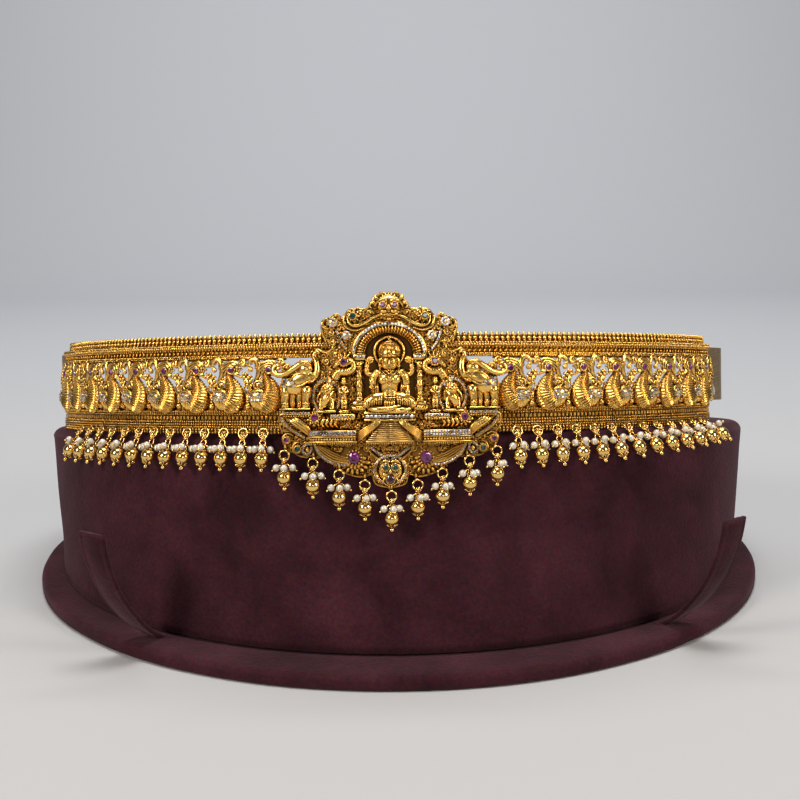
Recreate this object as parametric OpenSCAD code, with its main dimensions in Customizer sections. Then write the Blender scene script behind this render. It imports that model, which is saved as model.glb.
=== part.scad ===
// A temple style waist belt in antique gold, shown on the suede covered stand that holds it.
// Millimetres. X runs to the right, Y away from the viewer and Z up; the medallion faces -Y.
// The origin is the middle of the stand's base plate, on its underside.

/* [Belt loop] */
// Half width of the loop, outside its bands
loop_a = 129.5; // [124:0.5:132]
// Half depth of the loop, outside its bands
loop_b = 114; // [110:0.5:115]
// Lean of the loop and of the stand's top, front edge up
lean = 9.2; // [4:0.1:11]
// Shift of the loop to the side of the stand's middle
belt_x = -2; // [-4:0.5:4]
// Height of the bands and the links between them
belt_h = 31.3; // [30:0.1:32]

/* [Links and drops] */
// Length of belt that one peacock link takes
link_pitch = 13; // [12.8:0.1:13.4]
// Number of peacock links on the right
links = 8; // [6:1:8]
// Number of peacock links on the left, where the bands reach farther round
left_links = 9; // [6:1:9]
// Where the first bird's eye lies, measured along the belt from its middle
first_eye = 38.3; // [38:0.1:40]
// Number of small drops on each side
drops = 13; // [8:1:13]
// Spacing of the small drops
drop_pitch = 6.9; // [6.8:0.1:7]
// Radius of a gold ball
ball_r = 2.4; // [2.2:0.05:2.5]
// Radius of a pearl
pearl_r = 1.15; // [1:0.05:1.2]

/* [Stand] */
// Radius of the base plate
plate_r = 142; // [140:1:150]
// Thickness of the base plate
plate_t = 5; // [4:0.5:6]
// Half width of the drum's foot
foot_a = 134; // [132:1:136]
// Half depth of the drum's foot
foot_b = 126; // [122:1:128]
// Height of the drum's top at its middle
top_z = 56; // [50:1:60]

/* [Hidden] */
$fn = 64;

gold = [0.83, 0.62, 0.24];
deep_gold = [0.62, 0.42, 0.14];
suede = [0.3, 0.16, 0.2];
strap_metal = [0.52, 0.43, 0.3];
ruby_red = [0.55, 0.1, 0.45];

// The loop is an oval of four arcs that join at 45 degrees
arc_c = (loop_a - loop_b) / (2 * sin(45) - 1) * sin(45);
front_r = loop_b + arc_c;
side_r = loop_a - arc_c;
front_len = front_r * PI / 4;
function ornate_end(side) = first_eye - 5 + (side < 0 ? left_links : links) * link_pitch;

// Heights on the belt's face, from the middle of the bands
band_top = belt_h / 2 - 0.15;
window_top = 7.8;
window_low = -8.5;
band_low = -belt_h / 2 - 0.15;
rest_gap = 0.15;
belt_z = top_z + (rest_gap - band_low) * cos(lean);

// Across the thickness of the belt, outward from the face of the bands
band_in = -3.2;
link_back = -2.2;
link_front = -1.25;
plate_back = 0.25;
plate_front = 1.5;

// The small drops hang from eyelets on the lower band
eyelet_out = 1.1;
eyelet_v = -14.2;
eyelet_r = 0.8;
wire_r = 0.28;
band_neck = 1.2;
first_drop = 40.2;

// Parts of one drop, downward from the eyelet that holds it
ring_r = 1.55;
ring_z = -1.6;
loop_r = 0.8;
loop_z = -3.2;
ball_z = -8.5;
pearl_z = -5.5;
pearl_out = 2.5;
drum_a = loop_a + 6;
drum_b = loop_b - 1;
shoulder = 4;
pearl_lean = 55;

function oval_heading(s) =
    let (m = abs(s), side = (m - front_len) / side_r * 180 / PI)
    sign(s) * (m <= front_len ? m / front_r * 180 / PI : 45 + side);
function oval_radius(s) = abs(s) <= front_len ? front_r : side_r;
function oval_centre(s) = abs(s) <= front_len ? [0, front_r - loop_b] : [sign(s) * arc_c, 0];
function oval_point(h, out) =
    let (m = abs(h), flat = m <= 45 || m >= 135, r = (flat ? front_r : side_r) + out)
    let (c = flat ? [0, (m <= 45 ? 1 : -1) * (front_r - loop_b)] : [sign(h) * arc_c, 0])
    c + r * [sin(h), -cos(h)];

// Puts the belt, drawn flat about the middle of its loop, on the leaning top of the stand
module in_belt() {
    translate([belt_x, 0, belt_z]) rotate([-lean, 0, 0]) children();
}

// Puts a piece at a distance s along the belt, height v up its face and out from that face.
// The piece is drawn with X along the belt, Z up and -Y outward.
module on_belt(s, v = 0, out = 0) {
    c = oval_centre(s);
    translate([c.x, c.y, v]) rotate([0, 0, oval_heading(s)])
        translate([0, -oval_radius(s) - out, 0]) children();
}

// A flat piece cut to a 2D outline, from its back to its front, both measured outward
module plaque(back, front) {
    translate([0, -back, 0]) rotate([90, 0, 0]) linear_extrude(front - back) children();
}

module torus(big, small, n = 24, sides = 24) {
    rotate_extrude($fn = n) translate([big, 0]) circle(r = small, $fn = sides);
}

// A pierced ear that stands off a face, with its hole along the belt
module ear(r, wire, root) {
    rotate([0, 90, 0]) linear_extrude(2 * wire, center = true) difference() {
        union() {
            circle(r = r + wire, $fn = 32);
            translate([-wire, 0]) square([2 * wire, root]);
        }
        circle(r = r - wire, $fn = 32);
    }
}

module ball_at(p, r) {
    translate(p) sphere(r = r);
}

// Rounded bar between two points, for cast figures
module limb(a, b, ra, rb, n = 8) {
    hull() {
        translate(a) sphere(r = ra, $fn = n);
        translate(b) sphere(r = rb, $fn = n);
    }
}

module base_plate() {
    round_r = 2;
    color(suede) rotate_extrude($fn = 180) union() {
        square([plate_r - round_r, plate_t]);
        square([plate_r, plate_t - round_r]);
        translate([plate_r - round_r, plate_t - round_r]) circle(r = round_r);
    }
}

// The drum stands on the plate with a slightly wider foot, and its leaning top has a round shoulder
module display_drum() {
    sides = 76;
    color(suede) hull() {
        translate([0, 0, plate_t]) scale([foot_a, foot_b, 1]) cylinder(r = 1, h = 1, $fn = sides);
        translate([-belt_x, 0, 0]) in_belt() translate([0, 0, band_low - rest_gap])
            for (a = [0 : 30 : 90]) {
                inset = shoulder * (1 - cos(a));
                depth = shoulder * (1 - sin(a));
                translate([0, 0, -depth - 0.01]) scale([drum_a - inset, drum_b - inset, 1])
                    cylinder(r = 1, h = 0.01, $fn = sides);
            }
    }
}

// A folded strip of suede that comes out under the drum and curves up and outward
module tab(side) {
    root = side < 0 ? [-78.5, -104, plate_t + 0.25] : [89, -96.5, plate_t + 0.25];
    outward = side < 0 ? 36 : 40;
    bend_r = 52.9;
    bend_c = [-27.1, 45.4];
    thick = 1.8;
    root_w = 5;
    end_w = 11.5;
    height = 42;
    color(suede) translate(root) rotate([0, 0, side * outward - 90]) intersection() {
        translate([bend_c[0], 0, bend_c[1]]) rotate([90, 0, 0])
            translate([0, 0, -end_w]) rotate([0, 0, -59.2])
            rotate_extrude(angle = 54, $fn = 180) translate([bend_r, 0]) square([thick, 2 * end_w]);
        rotate([90, 0, 90]) translate([0, 0, -5]) linear_extrude(60)
            polygon([[-root_w / 2, 0], [root_w / 2, 0], [end_w / 2, 16], [end_w / 2, height],
                [-end_w / 2, height], [-end_w / 2, 16]]);
    }
}

// One band swept along the front of the loop from a section drawn as out and up. Where the
// front curve meets the side curves, a hairline is left and a square core inside joins them.
module band_sweep(core_low, core_high) {
    right_h = oval_heading(ornate_end(1));
    left_h = oval_heading(ornate_end(-1));
    hairline = 0.02;
    translate([0, front_r - loop_b]) rotate([0, 0, -135 + hairline])
        rotate_extrude(angle = 90 - 2 * hairline, $fn = 240) translate([front_r, 0]) children();
    translate([arc_c, 0]) rotate([0, 0, -45 + hairline])
        rotate_extrude(angle = right_h - 45 - hairline, $fn = 240) translate([side_r, 0]) children();
    translate([-arc_c, 0]) rotate([0, 0, -90 - left_h])
        rotate_extrude(angle = left_h - 45 - hairline, $fn = 240) translate([side_r, 0]) children();
    for (side = [-1, 1]) translate([side * arc_c, 0]) rotate([0, 0, -90 + side * 45])
        translate([side_r - 2.9, -3, core_low]) cube([1.75, 6, core_high - core_low]);
}

// The upper band steps in above a ridge, and a lip below covers the top of the links
module upper_band() {
    ridge = 12.2;
    rebate = 9.2;
    color(gold) in_belt() band_sweep(rebate + 0.3, ridge) polygon([
        [band_in, band_top], [-2.3, band_top], [-2.3, ridge + 0.7], [0, ridge], [0, ridge - 1.2],
        [-0.7, ridge - 1.7], [-0.7, 9], [-0.3, 8.8], [-0.3, window_top], [-0.85, window_top],
        [-0.85, rebate], [band_in, rebate]
    ]);
}

module lower_band() {
    rebate = -9.9;
    color(gold) in_belt() {
        band_sweep(band_low + 0.3, rebate - 0.3) polygon([
            [band_in, band_low], [-0.3, band_low], [-0.3, window_low], [-0.85, window_low],
            [-0.85, rebate], [band_in, rebate]
        ]);
        for (side = [-1, 1]) for (i = [0 : drops - 1])
            on_belt(side * (first_drop + i * drop_pitch), eyelet_v, eyelet_out)
                ear(eyelet_r, wire_r, eyelet_out + 0.5);
    }
}

// The strap leaves from behind the last link, comes out to the line of the bands,
// then narrows and drops to the stand's top round the back
module strap(side) {
    start_h = oval_heading(ornate_end(side) - 9);
    end_h = 174;
    thick = 1.1;
    steps = 40;
    tall = [-7.8, 11.6];
    low = [band_low, band_low + 9];
    function strap_out(h) = -4.5 + 3.6 * min(1, max(0, (h - start_h - 6) / 9));
    function strap_h(i) = start_h + (end_h - start_h) * i / steps;
    color(strap_metal) in_belt() intersection() {
        translate([0, 0, -20]) linear_extrude(40) polygon(concat(
            [for (i = [0 : steps]) oval_point(side * strap_h(i), strap_out(strap_h(i)))],
            [for (i = [steps : -1 : 0]) oval_point(side * strap_h(i), strap_out(strap_h(i)) + thick)]
        ));
        rotate([90, 0, 90]) translate([0, 0, -150]) linear_extrude(300) polygon([
            [-90, tall[1]], [5, tall[1]], [55, low[1]], [130, low[1]],
            [130, low[0]], [55, low[0]], [5, tall[0]], [-90, tall[0]]
        ]);
    }
}

module back_clasp() {
    wide = 24.5;
    high = 11;
    deep = 4;
    slot_h = 9.5;
    slot_t = 3.4;
    color(strap_metal) in_belt()
        translate([0, loop_b - 0.9, band_low + high / 2]) rotate([90, 0, 0]) difference() {
            translate([0, 0, -deep / 2]) linear_extrude(deep) square([wide, high], center = true);
            for (side = [-1, 1]) translate([side * wide / 2, -0.3, 0])
                cube([5, slot_h, slot_t], center = true);
        }
}

// One pierced link: the bird faces +X with its eye at the middle, and a leaf stands behind it.
// Side is 1 to face right; the links of the right half are mirrored.
module peacock_link(side, index) {
    half_gap = 0.3;
    cell = [-link_pitch + 5.2 + half_gap, 5.2 - half_gap];
    edge_top = 9.1;
    edge_low = -9.8;
    crown = 0.55;
    color(gold) in_belt() on_belt(side * (first_eye + (index - 1) * link_pitch))
        mirror([side > 0 ? 1 : 0, 0, 0]) {
            plaque(link_back, link_front) difference() {
                translate([cell[0], edge_low]) square([cell[1] - cell[0], edge_top - edge_low]);
                polygon([[0.9, 2.9], [2.6, 3.9], [3.3, 1.3], [4.6, 4.4], [4.6, 0.2], [3.6, -1.6]]);
                polygon([[-5.2, -0.6], [-5.5, 3.2], [-4.4, 5.2], [-3.3, 4.4], [-3.6, 1.9]]);
                polygon([[2.1, 5.1], [2.5, 6.9], [4.3, 6.9], [4.4, 5.9]]);
            }
            intersection() {
                ball_at([-0.6, 1.7, -3.9], 4.9);
                translate([-5.9, -4, -8.35]) cube([10.8, 5.5, 8.2]);
            }
            hull() {
                translate([2.4, 0.4, -1.6]) sphere(r = 1.7, $fn = 10);
                translate([-0.7, 0.2, 2.7]) sphere(r = 1.1, $fn = 10);
            }
            translate([0, 1.5, 4.3]) rotate([90, 0, 0]) difference() {
                cylinder(r = 1.45, h = 3.2);
                translate([0, 0, 2.5]) cylinder(r = 0.95, h = 1);
            }
            translate([-0.3, 0.8, 4]) rotate([90, 0, 0]) rotate([0, 0, -10])
                rotate_extrude(angle = 170, $fn = 48) translate([2.3, 0]) circle(r = 0.62);
            translate([-4.6, 0.9, 5.4]) rotate([90, 0, 0]) rotate([0, 0, -60])
                rotate_extrude(angle = 240, $fn = 48) translate([1.5, 0]) circle(r = 0.5);
            plaque(link_back + 0.4, crown)
                polygon([[-6.3, -3.4], [-7.3, 0.2], [-7.4, 3.4], [-6.4, 5.2], [-5.7, 2.2], [-5.4, -1.2]]);
            ball_at([-6.5, 0.5, -6.9], 0.95);
        }
}

// A faceted stone with its girdle at the origin and its table outward
module stone(r, high, n = 8, long = 1) {
    rotate([90, 0, 0]) scale([1, long, 1]) {
        translate([0, 0, -0.25 * high]) cylinder(r = r, h = 0.35 * high, $fn = n);
        translate([0, 0, 0.08 * high]) cylinder(r1 = 0.97 * r, r2 = 0.6 * r, h = 0.47 * high, $fn = n);
    }
}

module eye_rubies() {
    color(ruby_red) in_belt() for (side = [-1, 1]) for (i = [0 : (side < 0 ? left_links : links) - 1])
        on_belt(side * (first_eye + i * link_pitch), 4.3, 1.4) stone(0.8, 1.2);
}

// Half outline of the medallion from its top middle down its left edge: across, up
plate_edge = [
    [-1.2, 27.6], [-4.2, 26.4], [-5.9, 23.4], [-8.2, 22.6], [-12.2, 22.4], [-14.3, 19.6],
    [-17.2, 20.6], [-20.6, 18.2], [-20.2, 14.6], [-17.4, 11.4], [-19.5, 9.2], [-22.6, 10.2],
    [-24.2, 6.4], [-27.4, 6.8], [-30.2, 5], [-33, 5.6], [-33.4, 2.6], [-33, -8.4],
    [-34.6, -10.4], [-34, -14.6], [-30.8, -15.4], [-33.6, -17.6], [-32.6, -20], [-30.2, -21.6],
    [-27.6, -23], [-24.4, -22.6], [-21.2, -23], [-15.8, -26.6], [-13.6, -28.2], [-9, -29.4],
    [-5.6, -28.6], [-4.4, -31.6], [0, -32.8]
];

// Pairs of coloured stones on the medallion: across, up, out, radius, length over width
rubies = [
    ["mask eye", 1.75, 23.8, 5.6, 0.85, 1], ["bird eye", 13.6, 6.4, 5.4, 1.05, 1],
    ["rosette", 22.9, -10.8, 3.4, 1.15, 1], ["corner curl", 32, -17.8, 3.1, 0.9, 1],
    ["flower", 10.9, -23.3, 3.6, 1.7, 1.15]
];
greens = [
    ["scroll end", 10.9, 20.5, 3.9, 0.95, 1], ["corner leaf", 28.6, -20.7, 3.1, 0.95, 1],
    ["mask eye", 1.45, -26.3, 4.4, 1.05, 1]
];
dark_reds = [["mask tongue", 0, -29.9, 3.6, 1.25, 1.3]];

module at_pair(row) {
    for (side = row[1] == 0 ? [1] : [-1, 1]) on_belt(side * row[1], row[2], row[3]) children();
}

module stones(rows) {
    for (row = rows) at_pair(row) stone(row[4], 1.5 * row[4], 8, row[5]);
}

module medallion_rubies() {
    color(ruby_red) in_belt() stones(rubies);
}

module emeralds() {
    color([0.08, 0.32, 0.3]) in_belt() stones(greens);
}

module garnets() {
    color([0.2, 0.02, 0.08]) in_belt() stones(dark_reds);
}

// A collet stands from the plate round a stone and leaves it 0.15 mm of play
module collets(rows, grow = 0) {
    play = 0.15;
    for (row = rows) at_pair(row) {
        lip = row[4] + play;
        high = row[3] + 0.25 * row[4] - plate_front + 0.3;
        scale([1, 1, row[5]]) rotate([-90, 0, 0]) difference() {
            translate([0, 0, -0.25 * row[4] - grow]) cylinder(r = lip + 0.6 + grow, h = high + grow, $fn = 8);
            translate([0, 0, -1.2]) cylinder(r = lip, h = 1.35 + 0.375 * row[4], $fn = 8);
        }
    }
}

// The curved plate with everything that is soldered to it
module medallion_plate() {
    color(deep_gold) in_belt() {
        intersection() {
            translate([0, front_r - loop_b, -40]) difference() {
                cylinder(r = front_r + plate_front, h = 80, $fn = 120);
                translate([0, 0, -1]) cylinder(r = front_r + plate_back, h = 82, $fn = 120);
            }
            plaque(loop_b - 20, loop_b + 5) difference() {
                polygon(concat(plate_edge,
                    [for (i = [len(plate_edge) - 2 : -1 : 0]) [-plate_edge[i][0], plate_edge[i][1]]]));
                for (side = [-1, 1]) scale([side, 1]) {
                    polygon([[-31, -8.8], [-25.5, -8.6], [-24.4, -10.2], [-27, -10.6]]);
                    polygon([[-30.5, 4.2], [-27.4, 5.4], [-26, 4.4], [-29, 2.8]]);
                    polygon([[-24, -5.5], [-24, -1], [-25.6, -1], [-25.6, -5.5]]);
                }
            }
        }
        soldered_work(0);
        for (row = drop_table) on_belt(row[1], row[2], medallion_hook_out)
            rotate([0, 90, 0]) torus(eyelet_r, wire_r, 8, 5);
    }
}

// Raised work on the plate. Grow widens it, to cut the seats of the figures that stand on it.
module soldered_work(grow) {
    collets([for (r = rubies) if (r[0] != "mask eye" && r[0] != "bird eye") r], grow);
    collets([for (r = greens) if (r[0] != "mask eye") r], grow);
    arch(grow);
    platforms(grow);
    for (side = [-1, 1]) corner_scrolls(side, grow);
    drop_hooks(grow);
}

module drop_hooks(grow) {
    for (row = drop_table) on_belt(row[1], row[2], medallion_hook_out)
        translate([0, -0.1, 0.85]) rotate([-75, 0, 0])
        cylinder(r = 0.4 + grow, h = medallion_hook_out - plate_front + 0.5, $fn = 6);
}

// A cast figure, cut 0.22 mm clear of the plate and of the raised work on it
module seated_on_plate(near = []) {
    clear = 0.22;
    difference() {
        children();
        translate([0, front_r - loop_b, -40]) cylinder(r = front_r + plate_front + clear, h = 80, $fn = 120);
        for (work = near) {
            if (work == "arch") arch(clear);
            if (work == "platforms") platforms(clear);
            if (work == "scrolls") for (side = [-1, 1]) corner_scrolls(side, clear);
            if (work == "hooks") drop_hooks(clear);
        }
    }
}

// Round arch over the niche: a stone set outer rib and a fluted inner rib on two pillars
module arch(grow = 0) {
    spring = 8.8;
    outer_r = 10.6;
    inner_r = 8.9;
    rise = 0.86;
    for (rib = [[outer_r, 1.05, 2.2], [inner_r, 0.95, 3.2]])
        on_belt(0, spring, rib[2]) scale([1, 1, rise]) rotate([90, 0, 0])
            rotate_extrude(angle = 180, $fn = 28) translate([rib[0], 0]) circle(r = rib[1] + grow, $fn = 6);
    on_belt(0, 9.4, 2) rotate([90, 0, 0]) torus(4.5, 0.7 + grow, 16, 6);
    for (side = [-1, 1]) on_belt(side * 9.2, 0, 2.7) {
        translate([0, 0, -5.6]) cylinder(r = 0.85 + grow, h = 7.6, $fn = 8);
        for (z = [-7.2, -5.6, 1.6]) translate([0, 0, z - grow]) cylinder(r = 1.4 + grow, h = 1 + 2 * grow, $fn = 8);
        block([-1.3, -1.3, 2.4], [2.6, 2.6, 6.6], grow);
    }
}

module block(low, size, grow) {
    translate(low - grow * [1, 1, 1]) cube(size + 2 * grow * [1, 1, 1]);
}

// Ledges under the figures and the stair down the middle
module platforms(grow = 0) {
    treads = 9;
    stair_top = -12.2;
    stair_low = -17.8;
    rise = (stair_top - stair_low) / treads;
    for (i = [0 : treads - 1]) {
        half = 2.9 + 3.3 * (i + 1) / treads;
        on_belt(0, stair_top - (i + 1) * rise, plate_front - 0.2)
            block([-half, -1.2 - 2.6 * i / treads, 0], [2 * half, 1.6 + 2.6 * i / treads, rise + 0.05], grow);
    }
    on_belt(0, -12.2, plate_front - 0.2) block([-7.6, -3.6, 0], [15.2, 4, 2.2], grow);
    for (side = [-1, 1]) {
        on_belt(side * 17.2, -18.6, plate_front - 0.2) block([-7.2, -4.4, 0], [14.4, 4.8, 3.9], grow);
        on_belt(side * 14.2, -11.4, plate_front - 0.2) block([-3.8, -2.8, 0], [7.6, 3.2, 1.6], grow);
        on_belt(side * 28.6, -10.2, plate_front - 0.2) block([-4.4, -2.4, 0], [8.8, 2.8, 1.3], grow);
        on_belt(side * 7, -15.2, 3) mirror([side < 0 ? 1 : 0, 0, 0])
            rotate([0, 126, 0]) translate([0, 0, -5]) cylinder(r1 = 0.9 + grow, r2 = 1.2 + grow, h = 10, $fn = 8);
    }
}

// Corner blades, curls and the crescent below the ledge, drawn for the left and mirrored
module corner_scrolls(side, grow = 0) {
    module bar(a, b, ra, rb) {
        long = norm(b - a) + ra + rb + 2 * grow;
        on_belt(side * (a[0] + b[0]) / 2, (a[1] + b[1]) / 2, plate_front + 0.4)
            mirror([side < 0 ? 0 : 1, 0, 0]) rotate([0, atan2(b[0] - a[0], b[1] - a[1]), 0])
            translate([0, 0, -long / 2]) cylinder(r1 = ra + grow, r2 = rb + grow, h = long, $fn = 8);
    }
    bar([-30.2, -10.9], [-23.6, -16.1], 0.9, 1.3);
    bar([-33.4, -10.6], [-27.6, -15.6], 0.9, 0.9);
    bar([-22.8, -20], [-14.4, -24.2], 1, 1.2);
    bar([-12.2, 18.4], [-3.2, 20.6], 1.1, 1.2);
    bar([-8, 21.4], [-4.6, 22.6], 1, 0.9);
    bar([-25.6, -20.6], [-25.2, -18.6], 1.5, 0.9);
    bar([-19.2, 17.2], [-16.4, 18.2], 1.7, 1.7);
    bar([-18.6, 13.2], [-16.6, 9.4], 1.2, 1.5);
    bar([-13, 15.2], [-13.4, 13.8], 1.5, 1.5);
}

module seated_goddess() {
    seat = -9.7;
    color(gold) in_belt() seated_on_plate(["arch"]) on_belt(0, 0, 3.1) {
        limb([-6.6, 0.3, -7.6], [1.5, -1.4, -7.9], 1.6, 1.5);
        limb([6.6, 0.3, -7.6], [-1.5, -1.4, -7.9], 1.6, 1.5);
        limb([0, 0.2, -6.4], [0, 0.1, -3.2], 2.7, 1.7);
        limb([0, 0.1, -3.2], [0, 0, 1.4], 1.7, 2.7);
        limb([-3.3, 0.2, 2.1], [3.3, 0.2, 2.1], 1.2, 1.2);
        limb([0, 0, 2.6], [0, 0, 4.4], 1, 1);
        limb([0, -0.4, 5.1], [0, -0.4, 6.7], 1.7, 2);
        limb([0, -0.2, 8], [0, -0.2, 10.4], 2.1, 1.5);
        limb([0, -0.2, 10.4], [0, -0.2, 12.8], 1.4, 0.5);
        for (side = [-1, 1]) {
            limb([side * 1.75, -1.7, 0.3], [side * 1.7, -1, 0.6], 1.35, 1.4);
            limb([side * 3.9, 0.1, 1.9], [side * 5.7, -0.6, -2], 1, 0.85);
            limb([side * 5.7, -0.6, -2], [side * 5.3, -2.1, side < 0 ? 0.9 : -2.4], 0.85, 1);
            limb([side * 3.9, 0.5, 2.3], [side * 6.3, 0.2, 1.6], 0.85, 0.75);
            limb([side * 6.3, 0.2, 1.6], [side * 6.3, -0.4, 4.2], 0.75, 0.7);
            limb([side * 6.1, -0.4, 5], [side * 5.6, -0.3, 7.4], 0.9, 0.6);
            limb([side * 1.9, -0.3, 5.6], [side * 2.6, -0.3, 4.4], 0.6, 0.75);
        }
        translate([-6.8, -1.2, seat]) cube([13.6, 2.4, 1]);
    }
}

// An elephant walking to the middle with its trunk raised
module elephant(side) {
    color(gold) in_belt() seated_on_plate() on_belt(side * 26.2, 0, 3.2) mirror([side > 0 ? 1 : 0, 0, 0]) {
        limb([-4.6, 0, -0.4], [-0.6, 0, 0.2], 2.9, 2.8);
        limb([1.4, -0.9, 3.4], [2.2, -0.7, 1.6], 2, 1.7);
        limb([-1.5, -2, -0.4], [1.4, -2, -1.2], 1.2, 1);
        for (x = [-5.6, -2.9, 0.4, 2.2])
            limb([x, 0, -2], [x, 0, -7.2], 1.15, 1.05);
        limb([2.6, -0.9, 2.2], [4.4, -0.9, 4.4], 1.2, 0.9);
        limb([4.4, -0.9, 4.4], [4, -0.8, 8.6], 0.9, 0.7);
        limb([4, -0.8, 8.6], [2.6, -0.8, 9.3], 0.7, 0.75);
        limb([-4.8, -0.4, 3], [0.6, -0.6, 5.4], 0.9, 1.1);
        limb([-6.4, -0.3, 4.6], [-4.8, -0.4, 3], 0.8, 0.8);
    }
}

module lion(side) {
    color(gold) in_belt() seated_on_plate(["platforms"]) on_belt(side * 19, 0, 3.4) mirror([side > 0 ? 1 : 0, 0, 0]) {
        limb([0, 0.2, -3.4], [0.2, 0.2, -3.2], 3.4, 3.3);
        limb([0, -1.8, -2.2], [0.3, -2.1, -3.4], 1.9, 1.7);
        limb([0, -2.6, -4.6], [0.4, -2.4, -6.4], 1.2, 1.5);
        for (x = [-1.3, 1.9])
            limb([x, -0.5, -6.6], [x + 0.5, -0.9, -11.4], 1.2, 1.2);
        limb([5.4, -0.3, 0.4], [5.2, -0.2, -3], 1.2, 1.1);
        limb([5.2, -0.2, -3], [5.6, -0.3, -7.4], 0.95, 1.2);
    }
}

// Hooked bird neck that carries a ruby beside the arch
module arch_bird(side) {
    eye = rubies[1];
    color(gold) in_belt() seated_on_plate(["arch", "scrolls"]) difference() {
        union() {
            on_belt(side * eye[1], eye[2], 3) mirror([side > 0 ? 1 : 0, 0, 0]) {
                rotate([90, 0, 0]) rotate([0, 0, -60]) rotate_extrude(angle = 200, $fn = 32)
                    translate([2.5, 0]) circle(r = 0.9, $fn = 8);
                limb([1.2, 0, -2.3], [-3.2, 0.2, -4.4], 0.95, 1.2);
                limb([-2, 0.5, 0], [-3.8, 0.5, -2.6], 1.5, 1.7);
                limb([-2.4, 0.4, 2.2], [-4, 0.5, 1.4], 1.3, 1.3);
            }
            figure_collet(eye, side, 2);
        }
        figure_bore(eye, side);
    }
}

// A collet cast on a figure, from where it starts outward, and the bore that holds its stone
module figure_collet(row, side, from) {
    on_belt(side * row[1], row[2], row[3]) scale([1, 1, row[5]]) rotate([-90, 0, 0])
        translate([0, 0, -0.25]) cylinder(r = row[4] + 0.7, h = row[3] - from + 0.25, $fn = 16);
}

module figure_bore(row, side) {
    play = 0.15;
    on_belt(side * row[1], row[2], row[3]) scale([1, 1, row[5]]) rotate([-90, 0, 0])
        translate([0, 0, -3]) cylinder(r = row[4] + play, h = 3 + play + 0.375 * row[4], $fn = 8);
}

// Lion masks: one crowns the arch, one closes the foot of the medallion
module top_mask() {
    color(gold) in_belt() seated_on_plate(["scrolls"]) difference() {
        union() {
            on_belt(0, 23.6, 3.2) {
                limb([-1.8, 0, 0], [1.8, 0, 0], 2.3, 2.3);
                limb([0, 0, 1.6], [0, 0, 3.4], 2.2, 1.4);
                limb([0, -1.1, -1], [0, -1.3, -2], 1.3, 1.2);
                for (side = [-1, 1]) {
                    limb([side * 2, 0, 2], [side * 3.8, -0.3, 2.6], 0.8, 0.5);
                    limb([side * 4.2, 0, 0.6], [side * 4.6, 0.2, -1], 1.1, 1.1);
                }
            }
            for (side = [-1, 1]) figure_collet(rubies[0], side, 3);
        }
        for (side = [-1, 1]) figure_bore(rubies[0], side);
    }
}

module lower_mask() {
    color(gold) in_belt() seated_on_plate(["hooks"]) difference() {
        union() {
            on_belt(0, -26.2, 2.9) {
                limb([-1.6, 0.3, 0], [1.6, 0.3, 0], 2.3, 2.3);
                limb([-2.9, 0, -2.4], [2.9, 0, -2.4], 1.5, 1.5);
                limb([0, 0, 2.2], [0, 0.1, 4.4], 2.2, 1.6);
            }
            for (side = [-1, 1]) figure_collet(greens[2], side, 2);
            figure_collet(dark_reds[0], 1, 2);
        }
        for (side = [-1, 1]) figure_bore(greens[2], side);
        figure_bore(dark_reds[0], 1);
    }
}

// Drops under the medallion, from left to right: number, across, up
drop_table = [
    [1, -32.4, -20.9], [2, -23.5, -23.4], [3, -15.5, -27], [4, -7.7, -30.2], [5, 0.3, -33.6],
    [6, 8.2, -30.2], [7, 15.7, -26.8], [8, 24, -23], [9, 32.6, -20.2]
];
medallion_hook_out = 4.2;

// Gold of one drop: jump ring, loop, cone, ball, cap, tip, and three wires for the pearls
module drop(neck = 0) {
    translate([0, 0, ring_z]) rotate([90, 0, 0]) torus(ring_r, wire_r);
    translate([0, 0, loop_z]) rotate([0, 90, 0]) torus(loop_r, wire_r);
    translate([0, 0, -neck]) {
        translate([0, 0, ball_z + 2]) cylinder(r1 = 1.3, r2 = 0.5, h = -2 - ball_z + loop_z - 0.55 + neck);
        ball_at([0, 0, ball_z], ball_r);
        translate([0, 0, ball_z - ball_r - 0.5]) cylinder(r1 = 0.5, r2 = 1.5, h = 0.9);
        ball_at([0, 0, ball_z - ball_r - 1.1], 0.75);
        for (a = pearl_ways) rotate([0, 0, a]) translate([0, 0, pearl_top])
            rotate([0, 180 - pearl_lean, 0]) {
                cylinder(r = 0.16, h = pearl_reach + pearl_r + 0.42);
                ball_at([0, 0, pearl_reach + pearl_r + 0.42], 0.3);
            }
    }
}

// The pearls hang to the left, the right and the front of the wire, a little turned
pearl_ways = [197, 17, -75];
pearl_reach = pearl_out / sin(pearl_lean);
pearl_top = pearl_z + pearl_out / tan(pearl_lean);

module drop_pearls(neck = 0) {
    bore = 0.3;
    for (a = pearl_ways) rotate([0, 0, a]) translate([0, 0, pearl_top - neck])
        rotate([0, 180 - pearl_lean, 0]) translate([0, 0, pearl_reach]) difference() {
            sphere(r = pearl_r);
            translate([0, 0, -2]) cylinder(r = bore, h = 4);
        }
}

// A small drop lies against the drum's shoulder, so it swings out by the lean worked out here
function drum_margin(s) =
    let (h = oval_heading(s), p = oval_point(h, 0) + [belt_x, 0])
    let (k = norm([p.x / drum_a, p.y / drum_b]), edge = p / k)
    (edge - p) * [sin(h), -cos(h)] + 1;
function drop_lean(s) =
    let (m = drum_margin(s), clear = shoulder + ball_r + 1.1)
    let (c = [m - shoulder, -shoulder], e = [eyelet_out, eyelet_v - band_low + rest_gap])
    let (reach = band_neck - ball_z, d = norm(c - e), a = (clear * clear - reach * reach + d * d) / (2 * d))
    let (u = (e - c) / d, w = [u.y, -u.x], p = c + a * u + sqrt(clear * clear - a * a) * w)
    atan2(p.x - e.x, e.y - p.y);

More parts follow.
